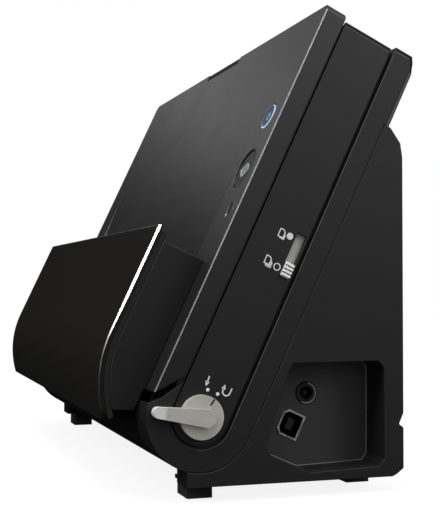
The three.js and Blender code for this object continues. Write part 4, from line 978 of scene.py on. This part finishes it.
# signs on the cover's buttons
buttonSigns = {
    "power": (134.7, 136.4, 1.6),       # middle and radius of the on sign
    "powerLine": 0.5,
    "powerTurn": (125, 415),            # of its open circle
    "powerBar": (0.2, 1.35),            # where its bar starts and ends, in radii
    # the start sign: a sheet seen at an angle, and the lines on it
    "startSheet": ((127.5, 109.6), (133.2, 113.0), (136.4, 112.1), (139.0, 109.4), (133.7, 105.6),
                   (131.2, 106.2)),
    "startLines": (((130.4, 109.3), (134.6, 111.8)), ((131.6, 108.2), (136.2, 110.9)),
                   ((132.9, 107.2), (137.2, 109.9))),
    "startFace": -0.5,
    "lampPage": (144.0, 90.2),
    "lampPageHalf": (1.0, 1.6),
    "lampSlitShade": (138.6, 88.4, 1.9, 3.5),    # middle and half sizes of the dark oval round the lamp, painted shade for its slit
    "lampGlint": (150, 290),            # turn of the painted highlight along its lower left edge
    "startLine": 0.7,
    "line": 0.45,
    "lampPageLine": 0.315,
    "ink": 0.04,
}


def makeButtonSigns():
    s = buttonSigns
    x, a, r = s["power"]
    circle = ring((x, a), r, 20, *s["powerTurn"])
    bar = [(x, a + r * share) for share in s["powerBar"]]
    powerStrokes = [(circle, s["powerLine"], False), (bar, s["powerLine"], False)]
    printedMarks("powerSign", powerStrokes, [], onCover, s["ink"], "blueInk", "power_button")
    lines = [(list(line), s["startLine"], False) for line in s["startLines"]]
    printedMarks("startSheet", [], [list(s["startSheet"])],
                 lambda u, v, lift: onCover(u, v, lift + s["startFace"]),
                 s["ink"], "paleInk", "start_button")
    printedMarks("startLines", lines, [],
                 lambda u, v, lift: onCover(u, v, lift + s["startFace"] + s["ink"]),
                 s["ink"], "greyInk", "start_button")
    # painted shade: a dark oval round the status lamp, with a painted highlight on its lower left edge
    x, a, w, h = s["lampSlitShade"]
    oval = [(x + w * u, a + h * v) for u, v in ring((0, 0), 1.0)]
    printedMarks("lampSlitShade", [], [oval], onCover, s["ink"], "shadePlastic", "front_unit")
    edge = [(x + w * u, a + h * v) for u, v in ring((0, 0), 1.0, 12, *s["lampGlint"])]
    printedMarks("lampGlint", [(edge, s["line"], False)], [], lambda u, v, lift: onCover(u, v, lift + s["ink"]),
                 s["ink"], "rimPlastic", "front_unit")
    x, a = s["lampPage"]
    w, h = s["lampPageHalf"]
    page = [(x - w, a - h), (x + w, a - h), (x + w, a + h), (x - w, a + h)]
    printedMarks("lampSign", [(page, s["lampPageLine"], True)], [], onCover, s["ink"], "faintInk",
                 "front_unit")


# a painted highlight: a bright strip wrapped round the cover's front side edges
coverCorner = {
    "side": 150.0,
    "front": -23.5,
    "radius": 0.4,
    "foot": 1.6,
    "top": 189.0,
    "sideLap": 0.45,                    # how far it laps round onto the side
    "frontLap": 0.5,
    "proud": 0.05,
    "steps": 5,
}


def makeCoverCorners():
    s = coverCorner
    for sign, name in ((1, "coverCornerRight"), (-1, "coverCornerLeft")):
        radius = s["radius"]
        outer = [(s["side"] - s["frontLap"], s["front"] - s["proud"])]
        for i in range(s["steps"] + 1):
            a = math.radians(-90 + 90 * i / s["steps"])
            outer.append((s["side"] + s["proud"] - radius + radius * math.cos(a),
                          s["front"] - s["proud"] + radius + radius * math.sin(a)))
        outer.append((s["side"] + s["proud"], s["front"] + s["sideLap"]))
        inner = (s["side"] - s["frontLap"], s["front"] + s["sideLap"])
        section = [*outer, inner]
        count = len(section)
        points = [onSlab(sign * x, y, a) for a in (s["foot"], s["top"]) for x, y in section]
        faces = [tuple(range(count)), tuple(range(2 * count - 1, count - 1, -1))]
        faces += [(i, (i + 1) % count, count + (i + 1) % count, count + i) for i in range(count)]
        meshPiece(name, points, faces, "clearedEdge", "front_unit")


# painted highlights and painted shade along the edges of the band behind the side panel, and of the panel's top
bandEdges = {
    "groove": 14.45,                    # slab depth of the edge beside the panel
    "curve": (0.45, 0.0, 14.05),        # middle and radius of its lower end
    "curveTurn": (-75, 0),
    "curveSteps": 12,
    "top": 186.0,
    "line": 0.35,
    "backFrom": (150.0, 24.8),          # across and depth of the bevel at the band's back
    "backTo": (147.5, 27.3),
    "backFoot": 155.3,
    "backTop": 183.0,
    "shadeBack": ((24.6, 157.0), (24.6, 182.0)),    # painted shade: the dark line beside the bevel
    "shadeTop": ((15.0, 189.2), (22.9, 189.2), (24.6, 185.6)),
    "lightTop": ((15.0, 188.2), (22.4, 188.2)),
    "widths": {"shadeTop": 1.0, "panelShade": 0.7},     # the others have the line's
    "panelShade": ((-12.0, 187.6), (12.0, 187.6)),
    "panelLight": ((-12.0, 186.5), (12.0, 186.5)),
    "ink": 0.03,
}


def makeBandEdges():
    s = bandEdges
    u, v, r = s["curve"]
    path = ring((u, v), r, s["curveSteps"], *s["curveTurn"])
    path.append((s["groove"], s["top"]))
    sides = ((1, "Right"), (-1, "Left"))
    # painted highlight: a light line along the band's edge beside the panel
    for sign, end in sides:
        printedMarks("bandEdge" + end, [(path, s["line"], False)], [], onSide(slab["bandSide"], sign),
                     s["ink"], "rubbedPlastic", "base")
    # painted highlight on a sheet over the band's back bevel, and painted shade and highlight lines along the
    # band's and the panel's tops
    for sign, end in sides:
        (fromX, fromY), (toX, toY) = s["backFrom"], s["backTo"]
        lift = s["ink"] * math.sqrt(0.5)
        corners = [(fromX, fromY), (toX, toY), (toX + lift, toY + lift), (fromX + lift, fromY + lift)]
        points = [onSlab(sign * x, y, a) for a in (s["backFoot"], s["backTop"]) for x, y in corners]
        faces = [(0, 1, 2, 3), (7, 6, 5, 4)] + [(i, (i + 1) % 4, 4 + (i + 1) % 4, 4 + i) for i in range(4)]
        meshPiece("bandBack" + end, points, faces, "bevelPlastic", "base")
        band, panel = onSide(slab["bandSide"], sign), onSide(slab["panelSide"], sign)
        panelNode = end.lower() + "_side_panel"
        marks = (
            # piece: its lines, place, finish and node
            ("bandShade", ("shadeBack", "shadeTop"), band, "shadePlastic", "rear_housing"),
            ("bandTop", ("lightTop",), band, "bevelPlastic", "rear_housing"),
            ("panelShade", ("panelShade",), panel, "shadePlastic", panelNode),
            ("panelTop", ("panelLight",), panel, "rubbedPlastic", panelNode),
        )
        for name, lines, place, finish, node in marks:
            strokes = [(list(s[line]), s["widths"].get(line, s["line"]), False) for line in lines]
            printedMarks(name + end, strokes, [], place, s["ink"], finish, "base")


# the floor of the socket recess: a plate whose lighter tone is painted light, with a painted highlight along
# its rim
recessFloor = {
    "depth": 131.5,                     # across the body
    "outline": ((9.75, 55.8), (12.15, 58.8), (53.55, 59.0), (56.45, 55.4), (56.35, 14.5),
                (53.85, 11.3), (20.65, 10.1), (1.45, 18.6), (-0.55, 22.5)),
    "inlet": (25.55, 43.5, 5.4),        # middle and radius of the inlet's hole
    "socket": (17.65, 29.5, 5.65, 6.15, 2.3),   # middle, half sizes and cut corners of the hole, which leans
    "bodyShift": (-2.4, 0.214),
    "middle": (27.5, 34.5),
    "thick": 0.06,
    "solidShare": 0.8,
    "rim": 0.3,
    "rimShare": 0.985,                  # how far out the rim runs, from the middle to the outline
    "inletRim": (4.55, 0.45, -120, 80), # radius, width and turn of the painted highlight arc on the inlet
    "inletProud": 0.32,
}


def makeRecessFloor():
    s = recessFloor

    def onBody(across, up, lift):
        shiftX, shiftY = s["bodyShift"]
        return Vector(((s["depth"] + lift + shiftX) * mm, (across + shiftY) * mm, up * mm))

    lean = math.radians(slab["lean"])
    y, z, halfY, halfZ, cut = s["socket"]
    hole = [(y + a * math.cos(lean) + b * math.sin(lean), z - a * math.sin(lean) + b * math.cos(lean))
            for a, b in ((cut - halfY, -halfZ), (halfY, -halfZ), (halfY, halfZ), (cut - halfY, halfZ),
                         (-halfY, halfZ - cut), (-halfY, cut - halfZ))]
    inletY, inletZ, inletRadius = s["inlet"]
    loops = [list(s["outline"]), hole, ring((inletY, inletZ), inletRadius, 24)]
    mesh = bpy.data.meshes.new("recessFloor")
    shape = bmesh.new()
    for loop in loops:
        corners = [shape.verts.new(onBody(u, v, s["thick"])) for u, v in loop]
        for i, corner in enumerate(corners):
            shape.edges.new((corner, corners[(i + 1) % len(corners)]))
    bmesh.ops.triangle_fill(shape, use_beauty=True, edges=shape.edges[:], normal=(1, 0, 0))
    shape.to_mesh(mesh)
    shape.free()
    mesh.materials.append(finishes["recessPlastic"])
    plate = bpy.data.objects.new("recessFloor", mesh)
    bpy.context.collection.objects.link(plate)
    thickness = plate.modifiers.new("plate", "SOLIDIFY")
    thickness.thickness = s["thick"] * mm * s["solidShare"]
    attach(plate, "base")
    midU, midV = s["middle"]
    share = s["rimShare"]
    inner = [(midU + (u - midU) * share, midV + (v - midV) * share) for u, v in s["outline"]]
    # painted highlight: a light line round the floor's rim
    printedMarks("recessRim", [(inner, s["rim"], True)], [],
                 lambda u, v, lift: onBody(u, v, lift + s["thick"]),
                 s["thick"], "rimPlastic", "base")
    # painted highlight: a light arc on the inlet
    radius, width, start, end = s["inletRim"]
    printedMarks("inletRim", [(ring((inletY, inletZ), radius, 20, start, end), width, False)], [],
                 lambda u, v, lift: onBody(u, v, lift + s["inletProud"]),
                 s["thick"], "rimPlastic", "base")


# the bright rolled rim of the data socket
socketRim = {
    "face": 132.0,
    "middle": (46.86, 14.21),           # slab depth and height
    "half": (5.1, 5.6),
    "cut": 2.0,
    "line": 0.85,
    "thick": 0.1,
}


def makeSocketRim():
    s = socketRim
    u, v = s["middle"]
    w, h = s["half"]
    c = s["cut"]
    path = [(u - w + c, v - h), (u + w, v - h), (u + w, v + h), (u - w + c, v + h),
            (u - w, v + h - c), (u - w, v - h + c)]
    printedMarks("socketRim", [(path, s["line"], True)], [], onSide(s["face"]), s["thick"], "shellMetal",
                 "base")


makeEjectShell()
makeFeedSigns()
makePathSigns()
makeKnobIndex()
makeGripGrooves()
makeButtonSigns()
makeCoverCorners()
makeBandEdges()
makeRecessFloor()
makeSocketRim()
print("signs, corners and the recess floor made")
